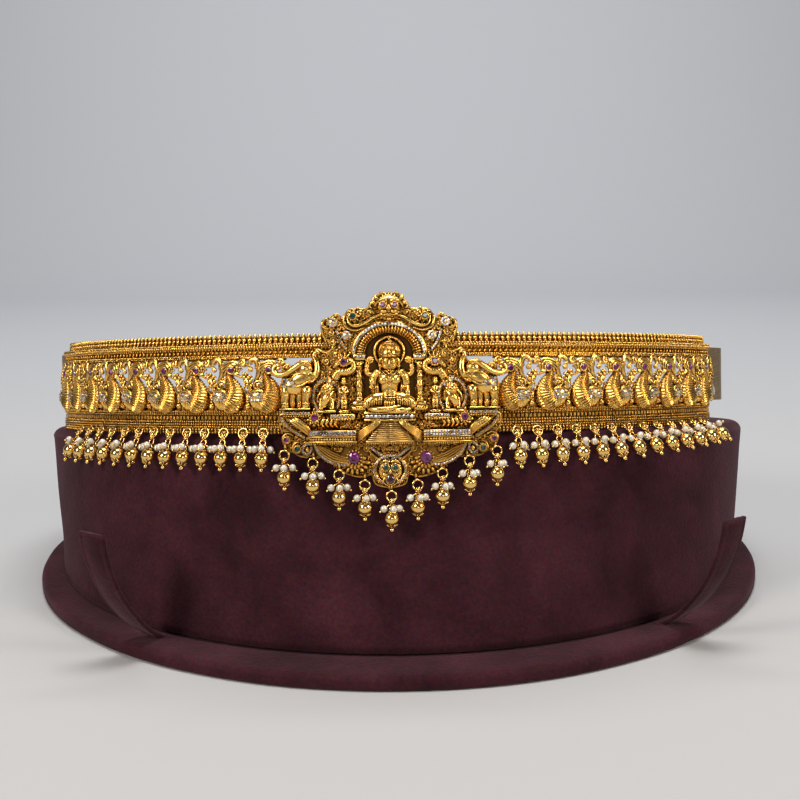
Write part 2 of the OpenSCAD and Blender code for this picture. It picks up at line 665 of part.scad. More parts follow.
module at_band_drops(side) {
    for (i = [0 : drops - 1]) {
        s = side * (first_drop + i * drop_pitch);
        on_belt(s, eyelet_v, eyelet_out) rotate([-drop_lean(s), 0, 0]) children();
    }
}

module at_medallion_drop(row) {
    on_belt(row[1], row[2], medallion_hook_out) children();
}

module band_drops(side) {
    color(gold) in_belt() at_band_drops(side) drop(band_neck);
}

module band_pearls(side) {
    color("ivory") in_belt() at_band_drops(side) drop_pearls(band_neck);
}

module medallion_drop(index) {
    color(gold) in_belt() at_medallion_drop(drop_table[index - 1]) drop();
}

module medallion_pearls() {
    color("ivory") in_belt() for (row = drop_table) at_medallion_drop(row) drop_pearls();
}

base_plate();
display_drum();
tab(-1);  // tab_left
tab(1);  // tab_right
upper_band();
lower_band();
strap(-1);  // strap_left
strap(1);  // strap_right
back_clasp();
for (i = [1 : max(links, left_links)]) {
    peacock_link(-1, i);
    peacock_link(1, i);
}
medallion_plate();
seated_goddess();
elephant(-1);  // elephant_left
elephant(1);  // elephant_right
lion(-1);  // lion_left
lion(1);  // lion_right
arch_bird(-1);  // arch_bird_left
arch_bird(1);  // arch_bird_right
top_mask();
lower_mask();
for (i = [1 : 9]) medallion_drop(i);
band_drops(-1);  // band_drops_left
band_drops(1);  // band_drops_right
medallion_pearls();
band_pearls(-1);  // band_pearls_left
band_pearls(1);  // band_pearls_right
eye_rubies();
medallion_rubies();
emeralds();
garnets();
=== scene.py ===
import math

import bmesh
import bpy
import numpy as np
from mathutils import Euler, Matrix, Vector


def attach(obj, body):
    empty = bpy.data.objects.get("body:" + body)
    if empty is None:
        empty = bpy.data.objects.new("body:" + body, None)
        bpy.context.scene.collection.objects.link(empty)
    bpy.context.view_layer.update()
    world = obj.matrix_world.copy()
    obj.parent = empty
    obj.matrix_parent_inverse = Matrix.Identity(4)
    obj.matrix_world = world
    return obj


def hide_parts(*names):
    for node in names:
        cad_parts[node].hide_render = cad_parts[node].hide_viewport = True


# Camera and studio.
# The photograph looks from the front and a little above, at about half a metre, and leans a
# hair to one side. The light is a pale room with soft windows on both sides.
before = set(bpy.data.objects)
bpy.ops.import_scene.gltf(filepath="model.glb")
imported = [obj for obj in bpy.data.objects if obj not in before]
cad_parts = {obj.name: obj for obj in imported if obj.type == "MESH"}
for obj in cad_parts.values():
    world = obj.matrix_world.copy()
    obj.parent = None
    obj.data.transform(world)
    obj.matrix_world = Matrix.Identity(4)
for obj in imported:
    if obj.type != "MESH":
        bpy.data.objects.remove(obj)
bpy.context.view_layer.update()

camera_data = bpy.data.cameras.new("camera")
camera_data.lens = 55.35
camera_data.sensor_width = 36
camera = bpy.data.objects.new("camera", camera_data)
bpy.context.collection.objects.link(camera)
camera.location = (0.0012, -0.491, 0.151)
camera.matrix_world = (
    Matrix.Translation(camera.location)
    @ Matrix.Rotation(math.radians(80), 4, "X")
    @ Matrix.Rotation(math.radians(-0.6), 4, "Z")
)
bpy.context.scene.camera = camera
bpy.context.scene.view_settings.view_transform = "Standard"


class Finish:
    """A material made of patterns that sit on the piece's own coordinates."""

    def __init__(self, name, settings):
        self.material = bpy.data.materials.new(name)
        self.material.use_nodes = True
        self.nodes, self.links = self.material.node_tree.nodes, self.material.node_tree.links
        self.shader = self.set(self.nodes["Principled BSDF"], settings)

    def set(self, node, settings):
        for name, value in settings.items():
            node.inputs[name].default_value = value
        return node

    def add(self, kind, settings):
        return self.set(self.nodes.new(f"ShaderNode{kind}"), settings)

    def pattern(self, kind, settings):
        """A noise or a field of cells over the piece."""
        made = self.add(kind, settings)
        self.links.new(self.add("TexCoord", {}).outputs["Object"], made.inputs["Vector"])
        return made

    def tones(self, source, *stops):
        """Colours for the values of a pattern, each given with its place on the scale."""
        made = self.add("ValToRGB", {})
        ramp = made.color_ramp.elements
        for end, (place, colour) in zip((ramp[0], ramp[1]), (stops[0], stops[-1])):
            end.position, end.color = place, (*colour, 1)
        for place, colour in stops[1:-1]:
            ramp.new(place).color = (*colour, 1)
        self.links.new(source, made.inputs["Fac"])
        return made.outputs["Color"]

    def colour(self, source):
        self.links.new(source, self.shader.inputs["Base Color"])

    def relief(self, source, strength, depth):
        raised = self.add("Bump", {"Strength": strength, "Distance": depth})
        self.links.new(source, raised.inputs["Height"])
        self.links.new(raised.outputs["Normal"], self.shader.inputs["Normal"])


paper = Finish("pale studio paper", {"Base Color": (0.5, 0.485, 0.47, 1), "Roughness": 0.85}).material


def shade(mesh, smooth):
    mesh.polygons.foreach_set("use_smooth", [smooth] * len(mesh.polygons))


def backdrop():
    """A floor that sweeps up into a wall behind the stand."""
    reach, bend, top = 1.2, 0.6, 2.6
    profile = [(-reach, 0), (reach, 0)]
    for i in range(13):
        a = math.radians(90 * i / 12)
        profile.append((reach + bend * math.sin(a), bend - bend * math.cos(a)))
    profile.append((reach + bend, top))
    form = bmesh.new()
    rows = [[form.verts.new((x, y, z)) for x in (-3, 3)] for y, z in profile]
    for near, far in zip(rows, rows[1:]):
        form.faces.new((near[0], near[1], far[1], far[0]))
    mesh = bpy.data.meshes.new("backdrop")
    form.to_mesh(mesh)
    shade(mesh, True)
    sheet = bpy.data.objects.new("backdrop", mesh)
    mesh.materials.append(paper)
    bpy.context.collection.objects.link(sheet)


def soft_light(name, place, aim, size, power, tint):
    lamp = bpy.data.lights.new(name, "AREA")
    lamp.shape = "RECTANGLE"
    lamp.size, lamp.size_y = size
    lamp.energy = power
    lamp.color = tint
    held = bpy.data.objects.new(name, lamp)
    turn = (Vector(place) - Vector(aim)).to_track_quat("Z", "Y")
    held.matrix_world = Matrix.Translation(place) @ turn.to_matrix().to_4x4()
    bpy.context.collection.objects.link(held)


backdrop()
soft_light("window left", (-0.8, -0.75, 0.62), (0, -0.1, 0.08), (0.26, 0.4), 7.2, (1, 0.96, 0.9))
soft_light("window right", (0.85, -0.6, 0.5), (0, -0.1, 0.08), (0.22, 0.4), 4.6, (1, 0.95, 0.88))
soft_light("ceiling", (0.05, -0.25, 1.1), (0, -0.08, 0), (0.5, 0.3), 7.4, (0.97, 0.98, 1))
soft_light("low front", (0.12, -1.1, 0.3), (0, -0.1, 0.07), (0.35, 0.07), 0.8, (1, 0.92, 0.8))
soft_light("far wall", (0, 0.5, 1.5), (0, 1.8, 0.5), (1.6, 0.6), 27, (0.82, 0.89, 1))
world = bpy.data.worlds.new("room")
bpy.context.scene.world = world
world.use_nodes = True
world.node_tree.nodes["Background"].inputs["Color"].default_value = (0.6, 0.63, 0.7, 1)
world.node_tree.nodes["Background"].inputs["Strength"].default_value = 0.12

# The stand: a round base plate and a drum whose top leans, both covered in maroon suede.
# The suede is glued over board and foam, brushed in patches, and folds softly over the edges.
# Two folded strips of the same suede come out under the drum, to lift it by.


def finish_piece(piece, slot, *nodes):
    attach(piece, "root")
    if nodes:
        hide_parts(*nodes)


def skin_faces(rows, count):
    """Faces between rows of points; each row closes on itself."""
    return [(r * count + j, r * count + (j + 1) % count, (r + 1) * count + (j + 1) % count,
             (r + 1) * count + j) for r in range(rows - 1) for j in range(count)]


def rings_mesh(name, rings):
    """A closed skin over rows of points."""
    points = np.concatenate(rings)
    count = len(rings[0])
    faces = skin_faces(len(rings), count)
    faces.append(tuple(reversed(range(count))))
    faces.append(tuple(range((len(rings) - 1) * count, len(rings) * count)))
    mesh = bpy.data.meshes.new(name)
    mesh.from_pydata(points.tolist(), [], faces)
    return mesh


def suede_finish():
    finish = Finish("maroon suede", {
        "Roughness": 0.95, "Specular IOR Level": 0.12,
        "Sheen Weight": 0.1, "Sheen Roughness": 0.45, "Sheen Tint": (0.85, 0.6, 0.66, 1),
    })
    brushed = finish.pattern("TexNoise", {"Scale": 34, "Detail": 5, "Roughness": 0.62, "Distortion": 0.3})
    nap = finish.pattern("TexNoise", {"Scale": 900, "Detail": 4})
    patches = finish.tones(brushed.outputs["Fac"], (0.36, (0.024, 0.0055, 0.0085)),
                           (0.66, (0.058, 0.0145, 0.021)))
    fibres = finish.nodes.new("ShaderNodeMix")
    fibres.data_type = "RGBA"
    fibres.blend_type = "OVERLAY"
    fibres.inputs["Factor"].default_value = 0.8
    finish.links.new(patches, fibres.inputs["A"])
    finish.links.new(nap.outputs["Color"], fibres.inputs["B"])
    finish.colour(fibres.outputs["Result"])
    finish.relief(nap.outputs["Fac"], 0.6, 0.0004)
    return finish.material


# The belt's loop and the drum's top, in millimetres. The loop is four arcs: a wide pair in front
# and behind, and a tight pair at the sides.
both_sides = ((-1, "left"), (1, "right"))
loop_a, loop_b, lean = 129.5, 114.0, math.radians(9.2)
belt_x, belt_h, top_z, rest_gap = -2.0, 31.3, 56.0, 0.15
band_low = -belt_h / 2 - 0.15
belt_z = top_z + (rest_gap - band_low) * math.cos(lean)
arc_c = (loop_a - loop_b) / (2 * math.sin(math.pi / 4) - 1) * math.sin(math.pi / 4)
front_r, side_r = loop_b + arc_c, loop_a - arc_c
front_len = front_r * math.pi / 4


def lean_to_world(points):
    """Belt millimetres, drawn flat about the loop's middle, to metres on the leaning top."""
    points = np.asarray(points, dtype=float)
    c, s = math.cos(lean), math.sin(lean)
    x, y, z = points[..., 0], points[..., 1], points[..., 2]
    return np.stack([x + belt_x, y * c + z * s, -y * s + z * c + belt_z], -1) / 1000


def soft_skin(points, depth, seed):
    """Moves a glued skin by a fraction of a millimetre, as cloth over foam lies."""
    p = np.asarray(points) * 1000
    wave = (
        np.sin(p[..., 0] / 17 + seed)
        + np.sin(p[..., 1] / 13 + 2.1 * seed)
        + np.sin((p[..., 0] + p[..., 2]) / 7.3 + seed)
        + np.sin((p[..., 1] - 1.3 * p[..., 2]) / 5.9 + 1.7)
    )
    return wave[..., None] * depth / 4000


suede = suede_finish()
around = np.linspace(0, 2 * math.pi, 288, endpoint=False)
outward = np.stack([np.cos(around), np.sin(around), 0 * around], -1)


def oval(a, b, height):
    return np.stack([a * np.cos(around), b * np.sin(around), 0 * around + height], -1)


def cover(name, rings, node):
    mesh = rings_mesh(name, rings)
    mesh.materials.append(suede)
    shade(mesh, True)
    piece = bpy.data.objects.new(name, mesh)
    bpy.context.collection.objects.link(piece)
    finish_piece(piece, "suede", node)


plate_r, plate_t, plate_round, skin_wave = 142, 5.0, 1.9, 0.35
plate_profile = [(80, 0), (136, 0), (141, 0.15), (plate_r - 0.1, 0.7), (plate_r, 1.6)]
plate_profile += [(plate_r - plate_round * (1 - math.cos(a)), plate_t - plate_round * (1 - math.sin(a)))
                  for a in np.radians([0, 22, 45, 68, 90])]
plate_profile += [(137, plate_t), (128, plate_t), (60, plate_t)]
rings = []
for radius, height in plate_profile:
    ring = oval(radius, radius, height) / 1000
    if radius > 136.5 and height > 0.5:
        ring = ring + outward * np.minimum(soft_skin(ring, skin_wave, 0.4), 0)
    rings.append(ring)
cover("base_plate_suede", rings, "base_plate")

drum_a, drum_b, shoulder = loop_a + 6, loop_b - 1, 4.0


def top_ring(inset, depth):
    """An oval on the leaning top, so far in from the drum's side and so far below the top."""
    return lean_to_world(oval(drum_a - inset, drum_b - inset, band_low - rest_gap - depth) - [belt_x, 0, 0])


rings = []
foot_a, foot_b = 134.0, 126.0
low = oval(foot_a, foot_b, plate_t + 0.9) / 1000
for inset, height in [(40, 0), (3.2, 0), (1.1, 0.35)]:
    scale = np.array([1 - inset / foot_a, 1 - inset / foot_b, 1])
    rings.append(low * scale + [0, 0, (height - 0.8) / 1000])
high = top_ring(0, shoulder)
for share in np.linspace(0, 1, 26):
    ring = low + (high - low) * share
    rings.append(ring + outward * (soft_skin(ring, skin_wave, 1.1) - skin_wave / 1000)
                 * min(1, 4 * share + 0.2))
for a in np.radians([15, 30, 45, 60, 75, 90]):
    rings.append(top_ring(shoulder * (1 - math.cos(a)), shoulder * (1 - math.sin(a))))
for inset in (8, 18, 40, 80):
    rings.append(top_ring(inset, 0.03))
cover("drum_suede", rings, "display_drum")


def tab_strip(side):
    """A folded strip that leaves level from under the drum and bends upward."""
    root = np.array([(-78.5, -104, plate_t + 0.25), (89, -96.5, plate_t + 0.25)][side > 0])
    turn = math.radians(-126 if side < 0 else -50)
    steps, bend_r, centre, first, arc, thin = 40, 53.8, (-27.1, 45.4), -59.2, 54, 0.92
    wide = np.interp(np.linspace(0, 1, steps), [0, 0.36, 1], [2.6, 5.4, 5.7])
    rings = []
    for i, share in enumerate(np.linspace(0, 1, steps)):
        a = math.radians(first + arc * share)
        x, z = centre[0] + bend_r * math.cos(a), centre[1] + bend_r * math.sin(a)
        out = np.array([math.cos(a), 0, math.sin(a)])
        section = []
        for b in np.linspace(0, 2 * math.pi, 28, endpoint=False):
            c, s = math.cos(b), math.sin(b)
            across = wide[i] * np.sign(c) * abs(c) ** 0.35
            crease = 1 - 0.35 * math.exp(-((abs(across) - wide[i] + 1.5) / 0.35) ** 2)
            section.append(np.array([x, across, z]) + out * thin * np.sign(s) * abs(s) ** 0.55 * crease)
        rings.append(np.array(section))
    points = np.concatenate(rings)
    c, s = math.cos(turn), math.sin(turn)
    placed = points @ np.array([[c, s, 0], [-s, c, 0], [0, 0, 1]]) + root
    placed[:, 2] = np.maximum(placed[:, 2], plate_t + 0.12)
    return np.split(placed / 1000, len(rings))


for side, word in both_sides:
    cover(f"tab_{word}_suede", tab_strip(side), f"tab_{word}")

# The two bands: cast strips of antique gold with rows of grains, scallops, slanted cells and
# twisted wire soldered along them. The recesses are dark, partly for real oxide and partly as
# painted shade, and the high spots are bright and polished.


def gold_finish(name, bright, deep, roughness):
    """Aged gold: bright where it is rubbed, nearly black deep in the recesses, partly oxide and partly
    painted shade.
    """
    finish = Finish(name, {"Metallic": 1})
    # Painted shade: ambient occlusion darkens the colour in the recesses, on top of the real oxide there.
    shade_depth = finish.add("AmbientOcclusion", {"Distance": 0.0011})
    shade_depth.samples = 5
    oxide_and_shade = [0.16 * c for c in deep]
    finish.colour(finish.tones(shade_depth.outputs["AO"], (0.3, oxide_and_shade), (0.66, deep), (0.96, bright)))
    worn = finish.pattern("TexNoise", {"Scale": 420, "Detail": 3})
    rubbed = finish.add("MapRange", {"To Min": roughness - 0.07, "To Max": roughness + 0.13})
    finish.links.new(worn.outputs["Fac"], rubbed.inputs["Value"])
    finish.links.new(rubbed.outputs["Result"], finish.shader.inputs["Roughness"])
    finish.relief(worn.outputs["Fac"], 0.12, 0.00004)
    return finish.material


antique_gold = gold_finish("antique gold", (1.0, 0.63, 0.16), (0.6, 0.28, 0.035), 0.22)
orange_gold = gold_finish("orange gold", (1.0, 0.53, 0.08), (0.56, 0.21, 0.015), 0.24)


def arc_at(s):
    """Heading, radius and centre of the belt's arc at distances s along it."""
    m, way = np.abs(s), np.sign(s)
    front = m <= front_len
    heading = np.where(front, m / front_r, math.pi / 4 + (m - front_len) / side_r) * way
    centre_x, centre_y = np.where(front, 0, way * arc_c), np.where(front, front_r - loop_b, 0)
    return heading, np.where(front, front_r, side_r), centre_x, centre_y


def on_belt(s, v, w):
    """Points in metres for distances s along the belt, heights v and reaches w outward."""
    s, v, w = np.broadcast_arrays(*[np.asarray(q, dtype=float) for q in (s, v, w)])
    heading, radius, cx, cy = arc_at(s)
    radius = radius + w
    return lean_to_world(np.stack([cx + radius * np.sin(heading), cy - radius * np.cos(heading), v], -1))


def belt_turn(s, roll=0.0, pitch=0.0):
    """Turn of a piece drawn with X along the belt, Z up and -Y outward; roll is about -Y."""
    turn = (
        Matrix.Rotation(-lean, 3, "X")
        @ Matrix.Rotation(float(arc_at(s)[0]), 3, "Z")
        @ Matrix.Rotation(roll, 3, "Y")
        @ Matrix.Rotation(pitch, 3, "X")
    )
    return tuple(turn.to_euler())


def setting_tree():
    """Geometry Nodes: sets one item on every point, turned and sized by the points."""
    tree = bpy.data.node_groups.new("set along the belt", "GeometryNodeTree")
    for name, way, kind in (("Places", "INPUT", "Geometry"), ("Item", "INPUT", "Object"),
                            ("Item size", "INPUT", "Float"), ("Finish", "INPUT", "Material"),
                            ("Row", "OUTPUT", "Geometry")):
        tree.interface.new_socket(name, in_out=way, socket_type=f"NodeSocket{kind}")
    nodes = tree.nodes
    given, row = nodes.new("NodeGroupInput"), nodes.new("NodeGroupOutput")
    item = nodes.new("GeometryNodeObjectInfo")
    turn, size = [nodes.new("GeometryNodeInputNamedAttribute") for _ in range(2)]
    for node, name in ((turn, "turn"), (size, "size")):
        node.data_type = "FLOAT_VECTOR"
        node.inputs["Name"].default_value = name
    sized = nodes.new("ShaderNodeVectorMath")
    sized.operation = "SCALE"
    put = nodes.new("GeometryNodeInstanceOnPoints")
    real = nodes.new("GeometryNodeRealizeInstances")
    dressed = nodes.new("GeometryNodeSetMaterial")
    for start, output, end, socket in (
        (given, "Places", put, "Points"), (given, "Item", item, "Object"),
        (item, "Geometry", put, "Instance"), (turn, "Attribute", put, "Rotation"),
        (size, "Attribute", sized, 0), (given, "Item size", sized, "Scale"),
        (sized, "Vector", put, "Scale"), (put, "Instances", real, "Geometry"),
        (real, "Geometry", dressed, "Geometry"), (given, "Finish", dressed, "Material"),
        (dressed, "Geometry", row, "Row"),
    ):
        tree.links.new(start.outputs[output], end.inputs[socket])
    return tree


along_belt, millimetre = setting_tree(), 0.001


def set_items(item, places, turns, sizes, finish):
    """A plain mesh of the item set on every place. Sizes are one number or three each."""
    holder = bpy.data.meshes.new("places")
    holder.from_pydata([tuple(p) for p in places], [], [])
    sizes = np.asarray(sizes, dtype=float)
    sizes = np.broadcast_to(sizes if sizes.ndim == 2 else sizes.reshape(-1, 1), (len(places), 3))
    for name, data in (("turn", np.asarray(turns, dtype=float)), ("size", sizes)):
        layer = holder.attributes.new(name, "FLOAT_VECTOR", "POINT")
        layer.data.foreach_set("vector", data.ravel())
    row = bpy.data.objects.new("row", holder)
    bpy.context.collection.objects.link(row)
    layer = row.modifiers.new("set", "NODES")
    layer.node_group = along_belt
    names = {s.name: s.identifier for s in along_belt.interface.items_tree if s.in_out == "INPUT"}
    layer[names["Item"]] = item
    layer[names["Item size"]] = millimetre
    layer[names["Finish"]] = finish
    depsgraph = bpy.context.evaluated_depsgraph_get()
    mesh = bpy.data.meshes.new_from_object(row.evaluated_get(depsgraph), depsgraph=depsgraph)
    bpy.data.objects.remove(row)
    return mesh


def item_from(points, faces, name, smooth=True):
    mesh = bpy.data.meshes.new(name)
    mesh.from_pydata([tuple(p) for p in points], [], faces)
    shade(mesh, smooth)
    return bpy.data.objects.new(name, mesh)


def ball_parts(radii, sides=8, rows=5):
    """Points and faces of a ball or an egg; the faces look outward."""
    around = [2 * math.pi * j / sides for j in range(sides)]
    points = [(0, 0, 1)]
    for i in range(1, rows):
        a = math.pi * i / rows
        points += [(math.sin(a) * math.cos(b), math.sin(a) * math.sin(b), math.cos(a)) for b in around]
    points.append((0, 0, -1))
    last, low = len(points) - 1, 1 + (rows - 2) * sides
    faces = [(0, 1 + j, 1 + (j + 1) % sides) for j in range(sides)]
    for a in range(1, low, sides):
        faces += [(a + j, a + sides + j, a + sides + (j + 1) % sides, a + (j + 1) % sides)
                  for j in range(sides)]
    faces += [(last, low + (j + 1) % sides, low + j) for j in range(sides)]
    return np.array(points) * np.asarray(radii), faces


grain = item_from(*ball_parts(1, 8, 4), "grain")
# The links stand with their birds' eyes an even step apart, and the bands end with the last link.
first_eye, link_pitch = 38.3, 13
link_counts = {"left": 9, "right": 8}
left_end, right_end = [first_eye - 5 + count * link_pitch for count in link_counts.values()]


def band_body(section, finish):
    """The plain strip under the grains, swept along the front of the loop."""
    w, v = np.array(section).T
    mesh = rings_mesh("strip", [on_belt(s, v, w) for s in np.linspace(-left_end, right_end, 250)])
    mesh.materials.append(finish)
    return mesh


def grain_row(pitch, v, w, radius, stretch=(1, 1, 1), roll=0.0, item=grain, finish=antique_gold):
    """A row of items soldered along a band at height v and reach w."""
    margin = 1.2
    count = int((left_end + right_end - margin) / pitch)
    stops = (np.arange(count) - (count - 1) / 2) * pitch + (right_end - left_end) / 2
    sizes = np.tile(np.array(stretch) * radius, (count, 1))
    return set_items(item, on_belt(stops, v, w), [belt_turn(s, roll) for s in stops], sizes, finish)


def joined(name, meshes, slot, node):
    """One piece from several plain meshes, which keep their finishes."""
    parts = [bpy.data.objects.new("part", mesh) for mesh in meshes]
    for part in parts:
        bpy.context.collection.objects.link(part)
    with bpy.context.temp_override(
        active_object=parts[0], selected_objects=parts, selected_editable_objects=parts
    ):
        bpy.ops.object.join()
    piece = parts[0]
    piece.name = piece.data.name = name
    finish_piece(piece, slot, node)


def block_item(cut):
    """A block of size 1 with its outer edges cut down, drawn about its middle."""
    h = 0.5
    points = []
    for half, y in ((h, h), (h, -h + cut), (h - cut, -h)):
        points += [(-half, y, -half), (half, y, -half), (half, y, half), (-half, y, half)]
    faces = [(0, 3, 2, 1)] + skin_faces(3, 4) + [(8, 9, 10, 11)]
    return item_from(points, faces, "block", False)


cell = block_item(0.22)
upper_section = [
    (-3.2, 9.2), (-3.2, 14.5), (-2.9, 14.8), (-2.5, 14.7), (-2.7, 12.6), (-0.4, 12.2), (0, 11.9), (0, 11.1),
    (-0.5, 10.9), (-1, 10.4), (-1, 9), (-0.4, 8.8), (-0.3, 7.9), (-0.8, 7.85), (-0.85, 9.2)
]
joined("upper_band_grains", [
    band_body(upper_section, orange_gold),
    grain_row(1.85, 14.95, -2.5, 0.76, (0.95, 0.95, 1.05)),
    grain_row(1.85, 13.7, -2.15, 0.84, (1.0, 0.62, 0.78)),
    grain_row(1.85, 12.95, -1.75, 0.42, (1.3, 0.7, 0.6)),
    grain_row(0.95, 12.25, -0.2, 0.42, (1.3, 1, 0.75)),
    grain_row(0.86, 11.6, -0.02, 0.5, (1.0, 0.8, 0.8), roll=0.5),
    grain_row(1.18, 10.85, -0.62, 0.43),
    grain_row(1.72, 9.75, -0.78, 0.62, (0.72, 0.75, 1.25), roll=0.45, finish=orange_gold),
    grain_row(0.74, 8.75, -0.35, 0.36, (1.25, 1, 0.85), roll=-0.6),
    grain_row(0.9, 8.15, -0.3, 0.34, (1.3, 0.9, 0.8)),
], "antique_gold", "upper_band")

lower_section = [
    (-3.2, -15.8), (-3.2, -9.9), (-0.85, -9.9), (-0.8, -8.6), (-0.4, -8.5), (-0.35, -9.7),
    (-1, -9.9), (-1, -12), (-0.5, -12.2), (-0.45, -15.5), (-0.7, -15.8)
]
# The lower band is a darker copy of the gold: painted shade, for a band that faces down, away from the light
# above.
shady_gold = gold_finish("shaded band gold", (0.84, 0.47, 0.1), (0.42, 0.17, 0.02), 0.25)
joined("lower_band_grains", [band_body(lower_section[::-1], shady_gold)] + [
    grain_row(*row, finish=shady_gold) for row in (
        (0.92, -8.95, -0.25, 0.42, (1.15, 0.9, 0.9)),
        (0.92, -9.75, -0.3, 0.36),
        (1.45, -10.95, -0.62, 1.0, (0.98, 0.9, 1.25), 0, cell),
        (0.92, -12.15, -0.3, 0.42),
        (0.92, -13.05, -0.22, 0.42, (1.1, 1, 0.9)),
        (0.8, -13.85, -0.2, 0.4, (1.25, 0.9, 0.75), 0.5),
        (1.24, -14.7, -0.2, 0.5, (1.1, 0.85, 0.95)),
        (1.24, -15.55, -0.3, 0.45, (0.95, 0.9, 1.25)),
    )
], "antique_gold", "lower_band")

# The strap behind the belt: plain brushed brass strip in two halves, with a clasp between them.
# From the front only a few millimetres of it show, past the last links.


def brushed_brass():
    finish = Finish("brushed brass", {"Metallic": 0.75, "Roughness": 0.52})
    drawn = finish.pattern("Mapping", {"Scale": (30, 30, 900)})
    streaks = finish.add("TexNoise", {"Scale": 3, "Detail": 5})
    finish.links.new(drawn.outputs["Vector"], streaks.inputs["Vector"])
    finish.colour(finish.tones(streaks.outputs["Fac"], (0.35, (0.19, 0.125, 0.062)),
                               (0.7, (0.33, 0.23, 0.13))))
    finish.relief(streaks.outputs["Fac"], 0.12, 0.00008)
    return finish.material


brass = brushed_brass()
for name in ("strap_left", "strap_right", "back_clasp"):
    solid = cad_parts[name]
    solid.data.materials.clear()
    solid.data.materials.append(brass)

# The peacock links: seventeen cast, pierced plates. Each has a bird with a swept crest, a ribbed
# neck and breast, a wing set with clear stones, and a leaf and scroll behind it.


def spline(points, count):
    """A smooth path through the given points."""
    p = np.asarray(points, dtype=float)
    p = np.vstack([2 * p[0] - p[1], p, 2 * p[-1] - p[-2]])
    spans = len(p) - 3
    path = []
    for t in np.linspace(0, spans, count):
        i = min(int(t), spans - 1)
        f = t - i
        a, b, c, d = p[i], p[i + 1], p[i + 2], p[i + 3]
        path.append(0.5 * (2 * b + (c - a) * f + (2 * a - 5 * b + 4 * c - d) * f**2
                           + (3 * b - a - 3 * c + d) * f**3))
    return np.array(path)


def gone_along(path):
    """The distance from the start of a path to each of its points."""
    return np.concatenate([[0], np.cumsum(np.linalg.norm(np.diff(path, axis=0), axis=1))])


